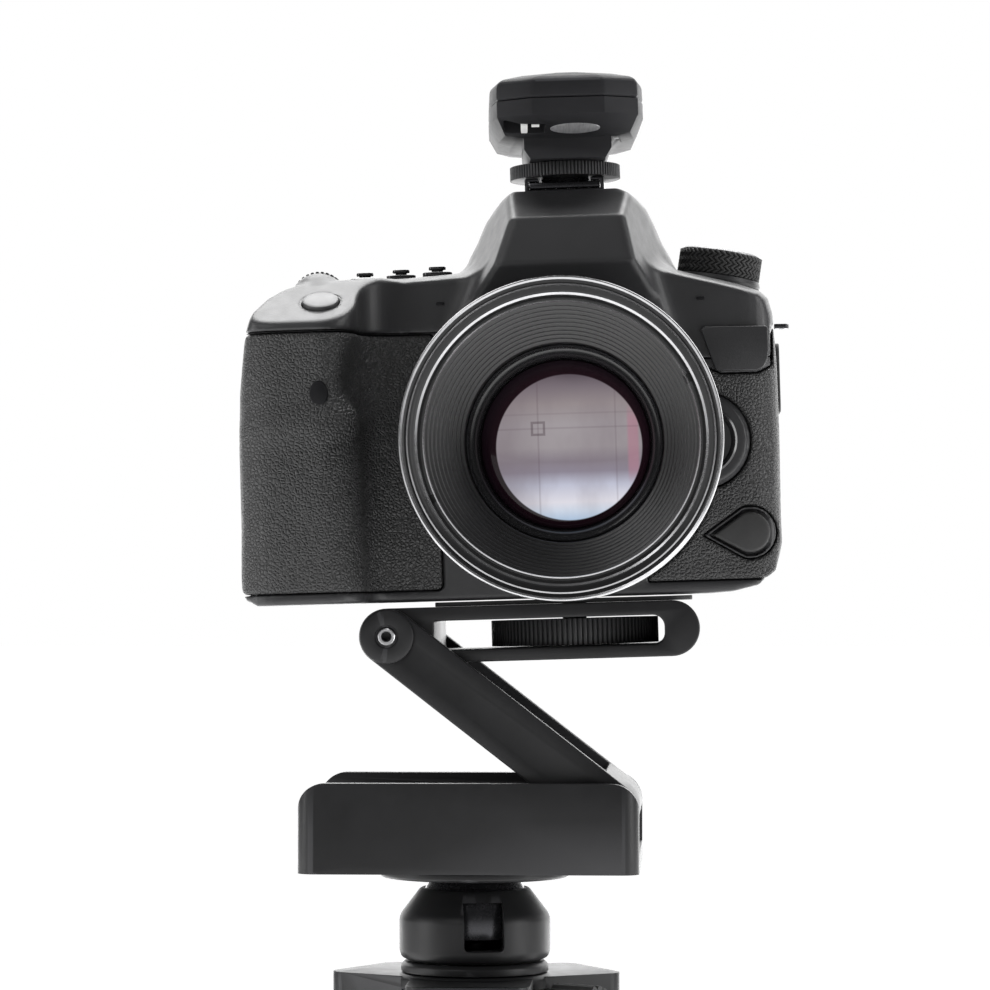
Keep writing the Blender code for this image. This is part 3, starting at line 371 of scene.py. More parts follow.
LOOKS = {
    "alloy": surface("black_alloy", grey(0.009, 0.0095), 0.4, 0.1, (60, 4, 0.35, 0.75, 0.55, grey(0.014, 0.015)),
                     (240, 3, 0.36, 0.5), (5200, 2, 0.02, 0.25), (grey(0.07, 0.074), 0.35), Specular_IOR_Level=0.24),
    "plastic": surface("body_plastic", grey(0.018, 0.019), 0.46, 0, (45, 3, 0.3, 0.75, 0.5, grey(0.027, 0.029)),
                       (300, 3, 0.36, 0.5), (2400, 0, 0.04, 0.35), Specular_IOR_Level=0.36),
    "gloss": surface("gloss_plastic", grey(0.012, 0.013), 0.2, 0, (80, 3, 0.4, 0.8, 0.5, grey(0.02, 0.022)),
                     (500, 3, 0.16, 0.28), (900, 2, 0.01, 0.2)),
    "dark_steel": surface("dark_steel", grey(0.035, 0.038), 0.24, 0.85, (90, 4, 0.35, 0.8, 0.5, grey(0.06, 0.065)),
                          (500, 2, 0.18, 0.34), (1500, 2, 0.01, 0.2)),
    "glass": surface("coated_glass", (0.2, 0.17, 0.24), 0.05, 0, (30, 3, 0.4, 0.8, 0.5, (0.26, 0.22, 0.3)),
                     (300, 3, 0.04, 0.09)),
    "white": surface("white_plastic", grey(0.75, 0.74), 0.4, 0, (300, 3, 0.4, 0.8, 0.6, grey(0.62, 0.6)),
                     (800, 3, 0.35, 0.5), (2500, 3, 0.01, 0.3)),
    "mirror": surface("mirror_silver", (0.85, 0.86, 0.88), 0.05, 1, (50, 3, 0.4, 0.9, 0.3, (0.78, 0.79, 0.82)),
                      (300, 3, 0.03, 0.08)),
    "lip": surface("polished_lip", grey(0.42, 0.43), 0.2, 0.9, (160, 3, 0.4, 0.8, 0.6, grey(0.24, 0.245)),
                   (700, 3, 0.14, 0.3), (1800, 3, 0.008, 0.2)),
    "label": surface("silver_label", grey(0.42, 0.43), 0.34, 0.6,
                     (260, 2, 0.35, 0.75, 0.7, grey(0.22, 0.23), (6, 1, 1)), (600, 3, 0.28, 0.42),
                     (1500, 3, 0.01, 0.2)),
    "trigger": surface("trigger_plastic", grey(0.013, 0.014), 0.55, 0, (60, 3, 0.35, 0.8, 0.5, grey(0.024, 0.026)),
                       (380, 3, 0.4, 0.52), (3000, 0, 0.015, 0.2), (grey(0.07, 0.075), 0.4), Specular_IOR_Level=0.05),
    "shutter": surface("shutter_metal", grey(0.045, 0.046), 0.42, 0.35, (120, 3, 0.35, 0.8, 0.5, grey(0.03, 0.031)),
                       (500, 3, 0.36, 0.5), (2600, 3, 0.01, 0.2)),
    "window": surface("dark_window", grey(0.006, 0.007), 0.4, 0, (90, 3, 0.4, 0.8, 0.5, (0.011, 0.01, 0.012)),
                      (400, 3, 0.36, 0.5), Specular_IOR_Level=0.15),
    "screen": surface("screen_glass", (0.008, 0.009, 0.011), 0.08, 0, (20, 3, 0.3, 0.8, 0.4, (0.014, 0.015, 0.02)),
                      (120, 4, 0.05, 0.14), Coat_Weight=1, Coat_Roughness=0.02),
    "dial_top": surface("dial_top", grey(0.16, 0.162), 0.4, 0.5, (200, 3, 0.35, 0.8, 0.5, grey(0.11, 0.112)),
                        (700, 3, 0.34, 0.5), (1800, 3, 0.01, 0.25)),
    "rubber": rubber("rubber"), "pad": rubber("pad_rubber"), "steel": steel("steel", 0.45),
    "steel_tube": steel("brushed_tube", 0.2), "leather": leatherette(), "lens_plastic": ridged_plastic(),
    "lens_glass": lens_glass(),
}
# Each CAD node of the record gets the look named by its material slot.
for entry in frame["record"]["subparts"]:
    node = NODES[entry["node"]]
    node.data.materials.clear()
    node.data.materials.append(LOOKS[entry["material_slot"]])

# --- building blocks --------------------------------------------------------------------------------------------------

GAP = 0.3
ALONG_Y = spin(-90, "X")
ALONG_X = spin(90, "Y")


def metres(matrix):
    result = matrix.copy()
    result.translation = matrix.translation * MM
    return result


def place_mesh(name, mesh, where):
    obj = bpy.data.objects.new(name, mesh)
    SCENE.collection.objects.link(obj)
    obj.matrix_world = metres(where)
    return obj


def raw(name, shape, where):
    """Makes an object of a shape in millimetres and frees the shape."""
    bmesh.ops.remove_doubles(shape, verts=shape.verts, dist=1e-4)
    bmesh.ops.recalc_face_normals(shape, faces=shape.faces)
    bmesh.ops.scale(shape, vec=(MM, MM, MM), verts=shape.verts)
    mesh = bpy.data.meshes.new(name)
    shape.to_mesh(mesh)
    shape.free()
    return place_mesh(name, mesh, where)


def bake(obj):
    """Makes the modifiers' result the mesh itself and drops the helper shapes."""
    bpy.context.view_layer.update()
    graph = bpy.context.evaluated_depsgraph_get()
    mesh = bpy.data.meshes.new_from_object(obj.evaluated_get(graph))
    helpers = [m.object for m in obj.modifiers if m.type == "BOOLEAN"]
    obj.modifiers.clear()
    obj.data = mesh
    for helper in helpers:
        bpy.data.objects.remove(helper, do_unlink=True)


def dress(obj, look, body, replaces):
    """Gives a finished shape its look and its body, and hides the CAD node that it stands for."""
    obj.data.materials.clear()
    obj.data.materials.append(LOOKS[look])
    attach(obj, body)
    if replaces:
        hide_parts(replaces)


def piece(name, shape, look, where, body, replaces=None, cuts=(), joins=(), edge=0.0, segments=3, angle=32, keeps=()):
    """A finished piece: its shape, worked with joins and cuts, its edges rounded, riding on a body."""
    obj = raw(name, shape, where)
    for operation, helpers in (("UNION", joins), ("DIFFERENCE", cuts), ("INTERSECT", keeps)):
        for number, helper in enumerate(helpers):
            modifier = obj.modifiers.new(operation.title(), "BOOLEAN")
            modifier.operation = operation
            modifier.solver = "EXACT"
            modifier.object = raw(f"{name}-{operation.lower()}{number}", helper, where)
    if joins or cuts or keeps:
        bake(obj)
    if edge:
        soft = obj.modifiers.new("Edges", "BEVEL")
        soft.width = edge * MM
        soft.segments = segments
        soft.limit_method = "ANGLE"
        soft.angle_limit = math.radians(angle)
        soft.use_clamp_overlap = True
        bake(obj)
    obj.data.shade_smooth()
    obj.data.set_sharp_from_angle(angle=math.radians(angle))
    dress(obj, look, body, replaces)


def points(text):
    """An outline or profile written as "u,v u,v ..."."""
    return [tuple(float(number) for number in spot.split(",")) for spot in text.split()]


def oval(x, y, half_wide, half_tall, count):
    angles = np.linspace(0, math.tau, count, endpoint=False)
    return [(x + half_wide * math.cos(a), y + half_tall * math.sin(a)) for a in angles]


def block(low, high, matrix=None, shape=None):
    shape = shape or bmesh.new()
    size = [b - a for a, b in zip(low, high)]
    middle = [(a + b) / 2 for a, b in zip(low, high)]
    local = Matrix.Translation(middle) @ Matrix.Diagonal((*size, 1))
    bmesh.ops.create_cube(shape, size=1.0, matrix=local if matrix is None else matrix @ local)
    return shape


def slab(outline, axis, low, high, matrix=None):
    """An outline drawn in the plane across an axis and grown from low to high along it."""
    shape = bmesh.new()
    spots = {"X": lambda u, v: (low, u, v), "Y": lambda u, v: (u, low, v), "Z": lambda u, v: (u, v, low)}[axis]
    along = {"X": (1, 0, 0), "Y": (0, 1, 0), "Z": (0, 0, 1)}[axis]
    face = shape.faces.new([shape.verts.new(spots(u, v)) for u, v in outline])
    grown = bmesh.ops.extrude_face_region(shape, geom=[face], use_keep_orig=True)
    moved = [item for item in grown["geom"] if isinstance(item, bmesh.types.BMVert)]
    bmesh.ops.translate(shape, verts=moved, vec=Vector(along) * (high - low))
    if matrix is not None:
        bmesh.ops.transform(shape, matrix=matrix, verts=shape.verts)
    return shape


def turned(profile, steps=96, ring=False, matrix=None):
    """A profile of radii and heights, turned about Z. A ring's profile is closed."""
    shape = bmesh.new()
    corners = [shape.verts.new((radius, 0, height)) for radius, height in profile]
    pairs = list(zip(corners, corners[1:]))
    if ring:
        pairs.append((corners[-1], corners[0]))
    edges = [shape.edges.new(pair) for pair in pairs]
    bmesh.ops.spin(
        shape, geom=corners + edges, axis=(0, 0, 1), cent=(0, 0, 0), angle=math.tau, steps=steps, use_merge=True
    )
    if matrix is not None:
        bmesh.ops.transform(shape, matrix=matrix, verts=shape.verts)
    return shape


def rod(radius, low, high, steps=48, matrix=None):
    return turned([(0, low), (radius, low), (radius, high), (0, high)], steps, False, matrix)


def loft(rings):
    """A solid skinned over rings of the same number of points."""
    shape = bmesh.new()
    stack = [[shape.verts.new(spot) for spot in ring] for ring in rings]
    count = len(rings[0])
    for low, high in zip(stack, stack[1:]):
        for i in range(count):
            j = (i + 1) % count
            shape.faces.new((low[i], low[j], high[j], high[i]))
    shape.faces.new(stack[0][::-1])
    shape.faces.new(stack[-1])
    return shape


def arc(centre, radius, start, end, count):
    angles = [math.radians(start + (end - start) * i / count) for i in range(count + 1)]
    return [(centre[0] + radius * math.cos(a), centre[1] + radius * math.sin(a)) for a in angles]


def eased(profile, width=0.4, count=3, closed=False):
    """Rounds each corner of a profile."""
    result = []
    size = len(profile)
    for index, point in enumerate(profile):
        here = Vector(point)
        if not closed and index in (0, size - 1):
            result.append(tuple(point))
            continue
        before = Vector(profile[index - 1])
        after = Vector(profile[(index + 1) % size])
        reach = min(width, (before - here).length * 0.45, (after - here).length * 0.45)
        start = here + (before - here).normalized() * reach
        end = here + (after - here).normalized() * reach
        for step in range(count + 1):
            share = step / count
            spot = start.lerp(here, share).lerp(here.lerp(end, share), share)
            result.append((spot.x, spot.y))
    return result


def rounded(low, high, radii, count=8):
    """A rectangle with a radius for each corner, from the low one round."""
    spots = [(low[0], low[1], 1, 1), (high[0], low[1], -1, 1), (high[0], high[1], -1, -1), (low[0], high[1], 1, -1)]
    outline = []
    for quarter, ((x, z, sx, sz), radius) in enumerate(zip(spots, radii)):
        if radius:
            centre = (x + sx * radius, z + sz * radius)
            outline += arc(centre, radius, 180 + 90 * quarter, 270 + 90 * quarter, count)
        else:
            outline.append((x, z))
    return outline


def toothed(inner, outer, teeth, round_top=False):
    """A wheel's outline, with flat teeth or rounded ones."""
    shares = ((0.08, inner), (0.24, outer), (0.76, outer), (0.92, inner))
    if round_top:
        middle = inner + (outer - inner) * 0.75
        shares = ((0.04, inner), (0.2, middle), (0.38, outer), (0.62, outer), (0.8, middle), (0.96, inner))
    outline = []
    for tooth in range(teeth):
        for share, radius in shares:
            angle = math.tau * (tooth + share) / teeth
            outline.append((radius * math.cos(angle), radius * math.sin(angle)))
    return outline


def across(x, z):
    return move(x, 0, z) @ ALONG_Y


# --- tripod -----------------------------------------------------------------------------------------------------------

HUB_TOP, HUB_R, CLEVIS = -98.3, 17.5, 11.5


def tripod():
    hub = [(11.3, HUB_TOP), (19.6, HUB_TOP), (20.5, HUB_TOP - 1.2), (20.5, HUB_TOP - 3.7), (HUB_R, HUB_TOP - 5.7)]
    hub += [(HUB_R, -122), (11.3, -122)]
    arms, holes = [], []
    for azimuth in LEG_AZIMUTHS:
        turn = spin(azimuth, "Z")
        outline = rounded((12.5, -16), (37, 16), (0, 5, 5, 0), 8)
        arms.append(slab(outline, "Z", -119, HUB_TOP - 0.6, turn))
        holes.append(block((HUB_R + 0.7, -CLEVIS, -130), (50, CLEVIS, HUB_TOP - 3.2), turn))
        holes.append(rod(2.8, -20, 20, 32, turn @ move(LEG_HINGE_R, 0, LEG_HINGE_Z) @ ALONG_Y))
    holes.append(rod(3.3, 8, 24, 32, spin(-30, "Z") @ move(0, 0, -109) @ ALONG_X))
    piece("spider_casting", turned(eased(hub, 0.5, 3, True), 96, True), "alloy", STAND, "stand", "tripod_spider",
          holes, arms, 0.6)
    top = points("0,-90.5 4.4,-90.5 4.4,-95.3 18.6,-95.3 19.5,-96.2 19.5,-98 11,-98 11,-320 9,-320 9,-100.5 0,-100.5")
    piece("column_tube", turned(eased(top, 0.3), 96), "alloy", STAND, "column", "center_column")
    knob_at = STAND @ move(0, 0, -109) @ spin(-30, "Z") @ spin(90, "Y")
    shaft = points("0,11.6 3,11.6 3,25.6 0,25.6")
    grip = slab(toothed(8.1, 9, 18, True), "Z", 25.5, 38)
    piece("column_knob_grip", grip, "rubber", knob_at, "column_clamp", "column_lock_knob", (), [turned(shaft, 32)], 0.5)
    for number, leg in LEGS.items():
        body = f"leg_{number}"
        tube = points("0,-14 9.5,-14 11,-15.5 11,-245 9.3,-245 9.3,-22 0,-22")
        knuckle = [(-8.5, -18), (8.5, -18)] + arc((0, 0), 8.5, 0, 180, 32)
        head = slab(knuckle, "Y", -CLEVIS + GAP, CLEVIS - GAP)
        piece(f"leg_tube_{number}", turned(eased(tube, 0.4), 64), "alloy", leg, body, f"leg_upper_{number}",
              [rod(2.8, -20, 20, 32, ALONG_Y)], [head], 0.35)
        pin = points("0,-15.7 2.5,-15.7 2.5,15.7 0,15.7")
        piece(f"hinge_pin_{number}", turned(eased(pin, 0.3), 32, False, ALONG_Y), "steel", leg, "stand",
              f"leg_pin_{number}")
        collar = slab(toothed(13.7, 14.5, 24, True), "Z", -259.5, -235.5)
        ends = points("11.3,-233 13.2,-233 13.9,-234 13.9,-261 13,-262 9.3,-262 9.3,-245.3 11.3,-245.3")
        hollow = points("0,-240 11.3,-240 11.3,-230 0,-230")
        bore = points("0,-265 9.3,-265 9.3,-245.3 11.3,-245.3 11.3,-230 0,-230")
        piece(f"twist_lock_{number}", collar, "rubber", leg, f"leg_twist_lock_{number}", f"leg_lock_{number}",
              [turned(bore, 64)], [turned(ends, 64, True)], 0.25, 2)
        inner = points("7.5,-60 9,-60 9,-290 7.5,-290")
        piece(f"inner_tube_{number}", turned(eased(inner, 0.2, 2, True), 64, True), "steel_tube", leg,
              f"leg_inner_tube_{number}", f"leg_lower_{number}")
        foot = points("0,-290.3 9.3,-290.3 9.3,-276 11.4,-276 12.3,-277.2 12.3,-281")
        for ring in range(4):
            low = -281 - 3.2 * ring
            foot += [(11.6, low - 0.5), (11.6, low - 1.2), (12.4, low - 1.8), (12.4, low - 3.2)]
        foot += points("12.5,-296 12.5,-320 0,-320")
        level = move(0, 0, -LEG_REACH) @ spin(LEG_SPREAD, "Y")
        piece(f"rubber_foot_{number}", turned(foot, 64), "rubber", leg, f"leg_inner_tube_{number}",
              f"leg_foot_{number}", [block((-40, -40, -40), (40, 40, 0), level)], (), 0.4)


tripod()

# --- ball head --------------------------------------------------------------------------------------------------------


def height_angle(height, radius):
    return math.degrees(math.asin(height / radius))


def ball_head():
    ball, cup, floor_z, rim = 15.5, 15.8, -92, -76
    top, bottom, stud_top = -73.6 - BALL_Z, -88.8 - BALL_Z, BASE_Z + 4.5 - BALL_Z
    sphere = arc((0, 0), ball, height_angle(bottom, ball), height_angle(top, ball), 24)
    profile = [(0, bottom)] + sphere + [(3.9, top), (3.9, stud_top), (0, stud_top)]
    piece("polished_ball", turned(profile, 96), "dark_steel", BALL, "ball", "leveling_ball")
    hollow = arc((0, BALL_Z), cup, height_angle(rim - BALL_Z, cup), height_angle(floor_z - BALL_Z, cup), 20)
    outer = points("5.1,-95 17.6,-95 19.4,-94.2 20,-92.6 20,-84 19.5,-82.7 14.7,-76.4 14.1,-76")
    shell = eased(outer, 0.7, 4) + hollow + [(5.1, floor_z)]
    turn = spin(10.7, "Z")
    notch = slab(rounded((-5.25, -91.5), (5.25, -79), (1.2, 1.2, 0, 0), 4), "Y", -26, -9, turn)
    side = block((-6.6, -21, -94), (-5.9, -19.55, -83.6), turn)
    piece("housing_shell", turned(shell, 128, True), "alloy", STAND, "column", "ball_housing",
          [notch, rod(3, 10, 26, 32, across(0, -88)), side], (), 0.25)
    grip = slab(toothed(7.6, 8.5, 16, True), "Z", 22, 34)
    shaft = points("0,16.2 2.7,16.2 2.7,22.2 0,22.2")
    knob_at = STAND @ move(0, 0, -88) @ spin(-90, "X")
    piece("ball_knob_grip", grip, "rubber", knob_at, "ball_clamp", "ball_lock_knob", (), [turned(shaft, 32)], 0.5)
    disc = points("4.2,-70.7 24.6,-70.7 25.2,-71.1 25.2,-72.6 24.4,-73.2 12,-73.3 4.2,-73.3")
    lowered = [(radius, height - BALL_Z) for radius, height in eased(disc, 0.35, 3, True)]
    piece("platform_disc", turned(lowered, 128, True), "alloy", BALL, "head_base", "ball_platform")


ball_head()

# --- Z-fold head ------------------------------------------------------------------------------------------------------


def stadium(left, right, radius, count=24):
    return arc((left, 0), radius, 90, 270, count) + arc((right, 0), radius, -90, 90, count)


def z_head():
    outline = rounded((-44, 0), (44, 23.3), (0, 0, LINK_R, LINK_R), 16)
    channel = block((-60, -29.5, 5), (60, 29.5, 40))
    bore = rod(3.3, -32, 39, 48, across(BASE_HINGE_X, BASE_HINGE_H))
    stud = rod(4.2, -5, 10, 48)
    piece("fold_base_channel", slab(outline, "Y", -34, 34), "alloy", BASE, "head_base", "fold_base",
          [channel, bore, stud], (), 0.45,
          keeps=[slab(rounded((-44, -34), (44, 34), (4.6,) * 4, 12), "Z", -1, 30)])
    pin = points("0,-31.7 3,-31.7 3,34 0,34")
    hinge_at = BASE @ move(BASE_HINGE_X, 0, BASE_HINGE_H) @ ALONG_Y
    piece("lower_pin", turned(eased(pin, 0.4), 48), "steel", hinge_at, "head_base", "lower_hinge_pin")
    web = -LINK_R + 3
    opening = [(-95, -20), (-48, -20), (-48, web), (-LINK_R, web), (-LINK_R, 20), (-95, 20)]
    piece("fold_arm_cheeks", slab(stadium(-LINK_SPAN, 0, LINK_R), "Y", -29, 29), "alloy", ARM, "head_arm",
          "fold_arm", [slab(opening, "Y", -24.5, 24.5), rod(3.3, -40, 40, 48, ALONG_Y),
                       rod(2.5, -40, 40, 48, across(-LINK_SPAN, 0))], (), 0.5)
    screw = points("0,-28 2.2,-28 2.2,29.3 6.65,29.3 7,29.7 6.9,30.1 6.3,30.4 3.1,30.4 2.9,30.1 2.5,30.1 2.3,30.4 "
                   "0,30.4")
    hexagon = oval(0, 0, 1.25, 1.25, 6)
    cap_at = ARM @ move(-LINK_SPAN, 0, 0) @ spin(90, "X")
    piece("hinge_cap", turned(screw, 64), "alloy", cap_at, "head_arm", "upper_hinge_screw",
          [slab(hexagon, "Z", 28, 35)], (), 0.12, 2)
    ring = points("1.35,30.2 2.1,30.2 2.2,30.45 2,30.65 1.4,30.65 1.3,30.45")
    piece("hinge_screw_head", turned(ring, 48, True), "steel", cap_at, "head_arm")
    slot = rounded((11.9, -4), (71.6, 3.6), (0.6, 3, 3, 0.6), 8)
    piece("tilt_plate_frame", slab(stadium(0, 73.5, LINK_R), "Y", -24, 24), "alloy", PLATE, "camera",
          "tilt_plate", [slab(slot, "Y", -40, 40), rod(3.475, 1.6, 12, 48, move(SCREW_X, 0, 0)),
                         rod(2.5, -40, 40, 48, ALONG_Y)], (), 0.5)
    wheel = slab(toothed(21.5, 22.1, 104, True), "Z", -3.6, 3.2)
    stem = [(0, 0), (3.175, 0)]
    for thread in range(11):
        low = 4 + 0.85 * thread
        stem += [(3.175, low), (2.8, low + 0.35), (3.175, low + 0.7)]
    stem += [(3.175, 13.45), (0, 13.45)]
    flats = [turned(points("19.2,3.4 18.6,2.6 9,2.6 8.6,3.4"), 96, True)]
    piece("screw_wheel", wheel, "alloy", PLATE @ move(SCREW_X, 0, 0), "wheel", "camera_screw_wheel",
          flats, [turned(stem, 48)], 0.3, 2)
    mat = rounded((12, -21), (79, 21), (3, 6, 6, 3), 8)
    piece("plate_mat", slab(mat, "Z", 7.27, 8.43), "pad", PLATE, "camera", "plate_pad",
          [rod(3.8, 0, 20, 48, move(SCREW_X, 0, 0))], (), 0.15, 2)


z_head()

# --- camera shell: a distance field, cut into its mouldings -----------------------------------------------------------

VOXEL = 0.6
LOW = np.array([-92.0, -50.0, -5.0])
HIGH = np.array([64.0, 34.0, 116.0])
COUNTS = np.ceil((HIGH - LOW) / VOXEL).astype(int)
GX = (LOW[0] + VOXEL * np.arange(COUNTS[0], dtype=np.float32))[:, None, None].astype(np.float32)
GY = (LOW[1] + VOXEL * np.arange(COUNTS[1], dtype=np.float32))[None, :, None].astype(np.float32)
GZ = (LOW[2] + VOXEL * np.arange(COUNTS[2], dtype=np.float32))[None, None, :].astype(np.float32)


def smin(a, b, k):
    h = np.clip(0.5 + 0.5 * (b - a) / k, 0.0, 1.0)
    return b + (a - b) * h - k * h * (1.0 - h)


def smax(a, b, k):
    return -smin(-a, -b, k)


def outline_field(u, v, points):
    """Signed distance to a closed outline, on a flat grid."""
    best = np.full(np.broadcast(u, v).shape, 1e9, np.float32)
    inside = np.zeros(best.shape, bool)
    for (ax, ay), (bx, by) in zip(points, points[1:] + points[:1]):
        ex, ey = bx - ax, by - ay
        wx, wy = u - ax, v - ay
        share = np.clip((wx * ex + wy * ey) / (ex * ex + ey * ey), 0, 1)
        best = np.minimum(best, (wx - ex * share) ** 2 + (wy - ey * share) ** 2)
        if by != ay:
            crosses = ((ay > v) != (by > v)) & (u < (bx - ax) * (v - ay) / (by - ay) + ax)
            inside ^= crosses
    return np.where(inside, -1.0, 1.0).astype(np.float32) * np.sqrt(best)


def front_field(points):
    return outline_field(GX, GZ, points)


def plan_field(points):
    return outline_field(GX, GY, points)


def side_field(points):
    return outline_field(GY, GZ, points)


def box_field(low, high, r=0):
    parts = []
    for grid, a, b in zip((GX, GY, GZ), low, high):
        parts.append(np.abs(grid - (a + b) / 2) - (b - a) / 2 + r)
    outside = np.sqrt(sum(np.maximum(part, 0) ** 2 for part in parts))
    return outside + np.minimum(np.maximum(np.maximum(parts[0], parts[1]), parts[2]), 0) - r


def round_field(x, z, radius):
    return np.sqrt((GX - x) ** 2 + (GZ - z) ** 2) - radius


def egg_field(at, size, climb=0):
    """The share by which a point lies outside an ellipsoid, which may climb toward the lens."""
    offsets = (GX - at[0], GY - at[1], GZ - at[2] - climb * (GX + 60))
    return np.sqrt(sum((offset / radius) ** 2 for offset, radius in zip(offsets, size))) - 1


def rod_y(x, z, radius, low, high):
    return np.maximum(round_field(x, z, radius), np.abs(GY - (low + high) / 2) - (high - low) / 2)


def rod_along(at, axis, radius, low, high):
    offsets = [GX - at[0], GY - at[1], GZ - at[2]]
    along = sum(o * a for o, a in zip(offsets, axis))
    square = sum(o * o for o in offsets) - along * along
    return np.maximum(np.sqrt(np.maximum(square, 0)) - radius, np.abs(along - (low + high) / 2) - (high - low) / 2)


def field_mesh(name, field, look, body, replaces=None, keep=0.4):
    """The surface where a field is zero, thinned to a share of its faces."""
    grid = openvdb.FloatGrid(background=3.0)
    grid.copyFromArray(np.ascontiguousarray(np.clip(field, -3, 3), dtype=np.float32))
    spots, quads = grid.convertToQuads(isovalue=0)
    mesh = bpy.data.meshes.new(name)
    mesh.from_pydata(((spots * VOXEL + LOW) * MM).tolist(), [], quads.tolist())
    mesh.update()
    obj = place_mesh(name, mesh, CAMERA)
    obj.modifiers.new("Thin", "DECIMATE").ratio = keep
    bake(obj)
    shape = bmesh.new()
    shape.from_mesh(obj.data)
    bmesh.ops.recalc_face_normals(shape, faces=shape.faces)
    shape.to_mesh(obj.data)
    shape.free()
    obj.data.shade_smooth()
    dress(obj, look, body, replaces)


SHUTTER_SLOPE = 30.7
SHUTTER_AT = (-61.8, -35, 77.6)
MODE_AT, MODE_LEAN = (40.7, 1, 83.7), 10
RELEASE_AT = (35, 39.9)
DROP_AT = (46.8, 15.8)
THUMB_AT = (-58, 30)
FRONT_WHEEL_X = -63.8
TOP_BUTTONS = ((-52.6, 87.4), (-43, 87.9), (-33.4, 88.4))


def camera_field():
    outline = points("-84.7,8 -84.7,40 -83.7,55 -81.9,67 -81,71.5 -79.2,76 -76,80 -72,82.6 -67.5,84.2 -62,84.8 "
                     "-46,85.4 -28,86.4 28,86 34,84.4 41,82.6 47,80.9 51.5,79.2 53.8,77 55,73 55.9,60 56.2,42 "
                     "55.6,13 53.4,5.6 48.7,1.8 42,0.3 36,0 -79.5,0 -83,1.6 -84.4,4.5")
    plan = [(-84.7, 24), (-84.7, -20)] + arc((-72.7, -33), 12, 180, 270, 8)
    plan += arc((-62.5, -35), 10, 270, 352, 7)
    start, bend, end = (Vector(spot) for spot in ((-52.4, -32), (-51.6, -21.4), (-35, -21.5)))
    plan += [tuple(start.lerp(bend, t).lerp(bend.lerp(end, t), t)) for t in np.linspace(0, 1, 16)]
    plan += arc((46, -11.3), 10.2, 270, 352, 7) + [(56.2, -6), (56.2, 24)]
    front = front_field(outline)
    above = plan_field(plan)
    body = smax(front, above, 1.2 + 2 * np.clip((GZ - 6) / 14, 0, 1))
    body = smax(body, np.abs(GY + 13.5) - 37.5, 3)
    slope = math.radians(SHUTTER_SLOPE)
    lean = (GZ - 72.2) * math.cos(slope) + (GY + 45) * -math.sin(slope)
    grip_top = np.where(GX < -49, lean, lean + (GX + 49) * -1.4)
    body = smax(body, grip_top, 1.3)
    brow = np.clip(-13 - GY, 0, 10) * 0.22 * np.clip((GZ - 66) / 8, 0, 1)
    body = smax(body, front + brow * np.clip((GX + 47) / 6, 0, 1), 1.2)
    # The fingers' hollow on the inner side of the grip, the ridge under it, and the swell before the front wheel.
    body = smax(body, -egg_field((-46.5, -38.5, 57), (9.5, 12.5, 12.5)) * 9, 3.5)
    body = smin(body, egg_field((-66.0, -39.8, 46.8), (13.0, 5.8, 5.5), 0.08) * 5.0, 3.0)
    body = smin(body, egg_field((-63.8, -18.8, 79.6), (7.4, 8.0, 7.3)) * 7.0, 1.0)
    waist = points("-27,74 -36,60 40,60 33,74 29.6,84 28.4,89.8 26.2,93.6 24.3,98.3 22.4,102.2 19.4,104.8 "
                   "14.8,107.2 -11.8,107.2 -15.4,105.4 -17.6,103.4 -20.4,100.2 -22.9,94.8 -25.2,91 -26.8,86")
    roof = points("-22,60 -24,77 -34.4,86 -31.2,98.4 -16,107.2 21,107.2 27,99 27,60")
    left = -0.876 * (GX + 12.4) - 0.294 * (GY + 31) + 0.381 * (GZ - 98.6)
    right = 0.93 * (GX - 17) - 0.27 * (GY + 31) + 0.257 * (GZ - 97.7)
    hump = smax(front_field(waist), side_field(roof), 1.2)
    hump = smax(smax(hump, left, 1.6), right, 1.6)
    hump = smax(hump, 66 - GZ, 1)
    body = smin(body, hump, 5.0)
    body = smin(body, rod_y(LENS_X, LENS_Z, 36.5, -24.0, 0.0), 2.0)
    body = smin(body, rod_y(*RELEASE_AT, 11.6, -22.6, 0.0), 0.8)
    return body


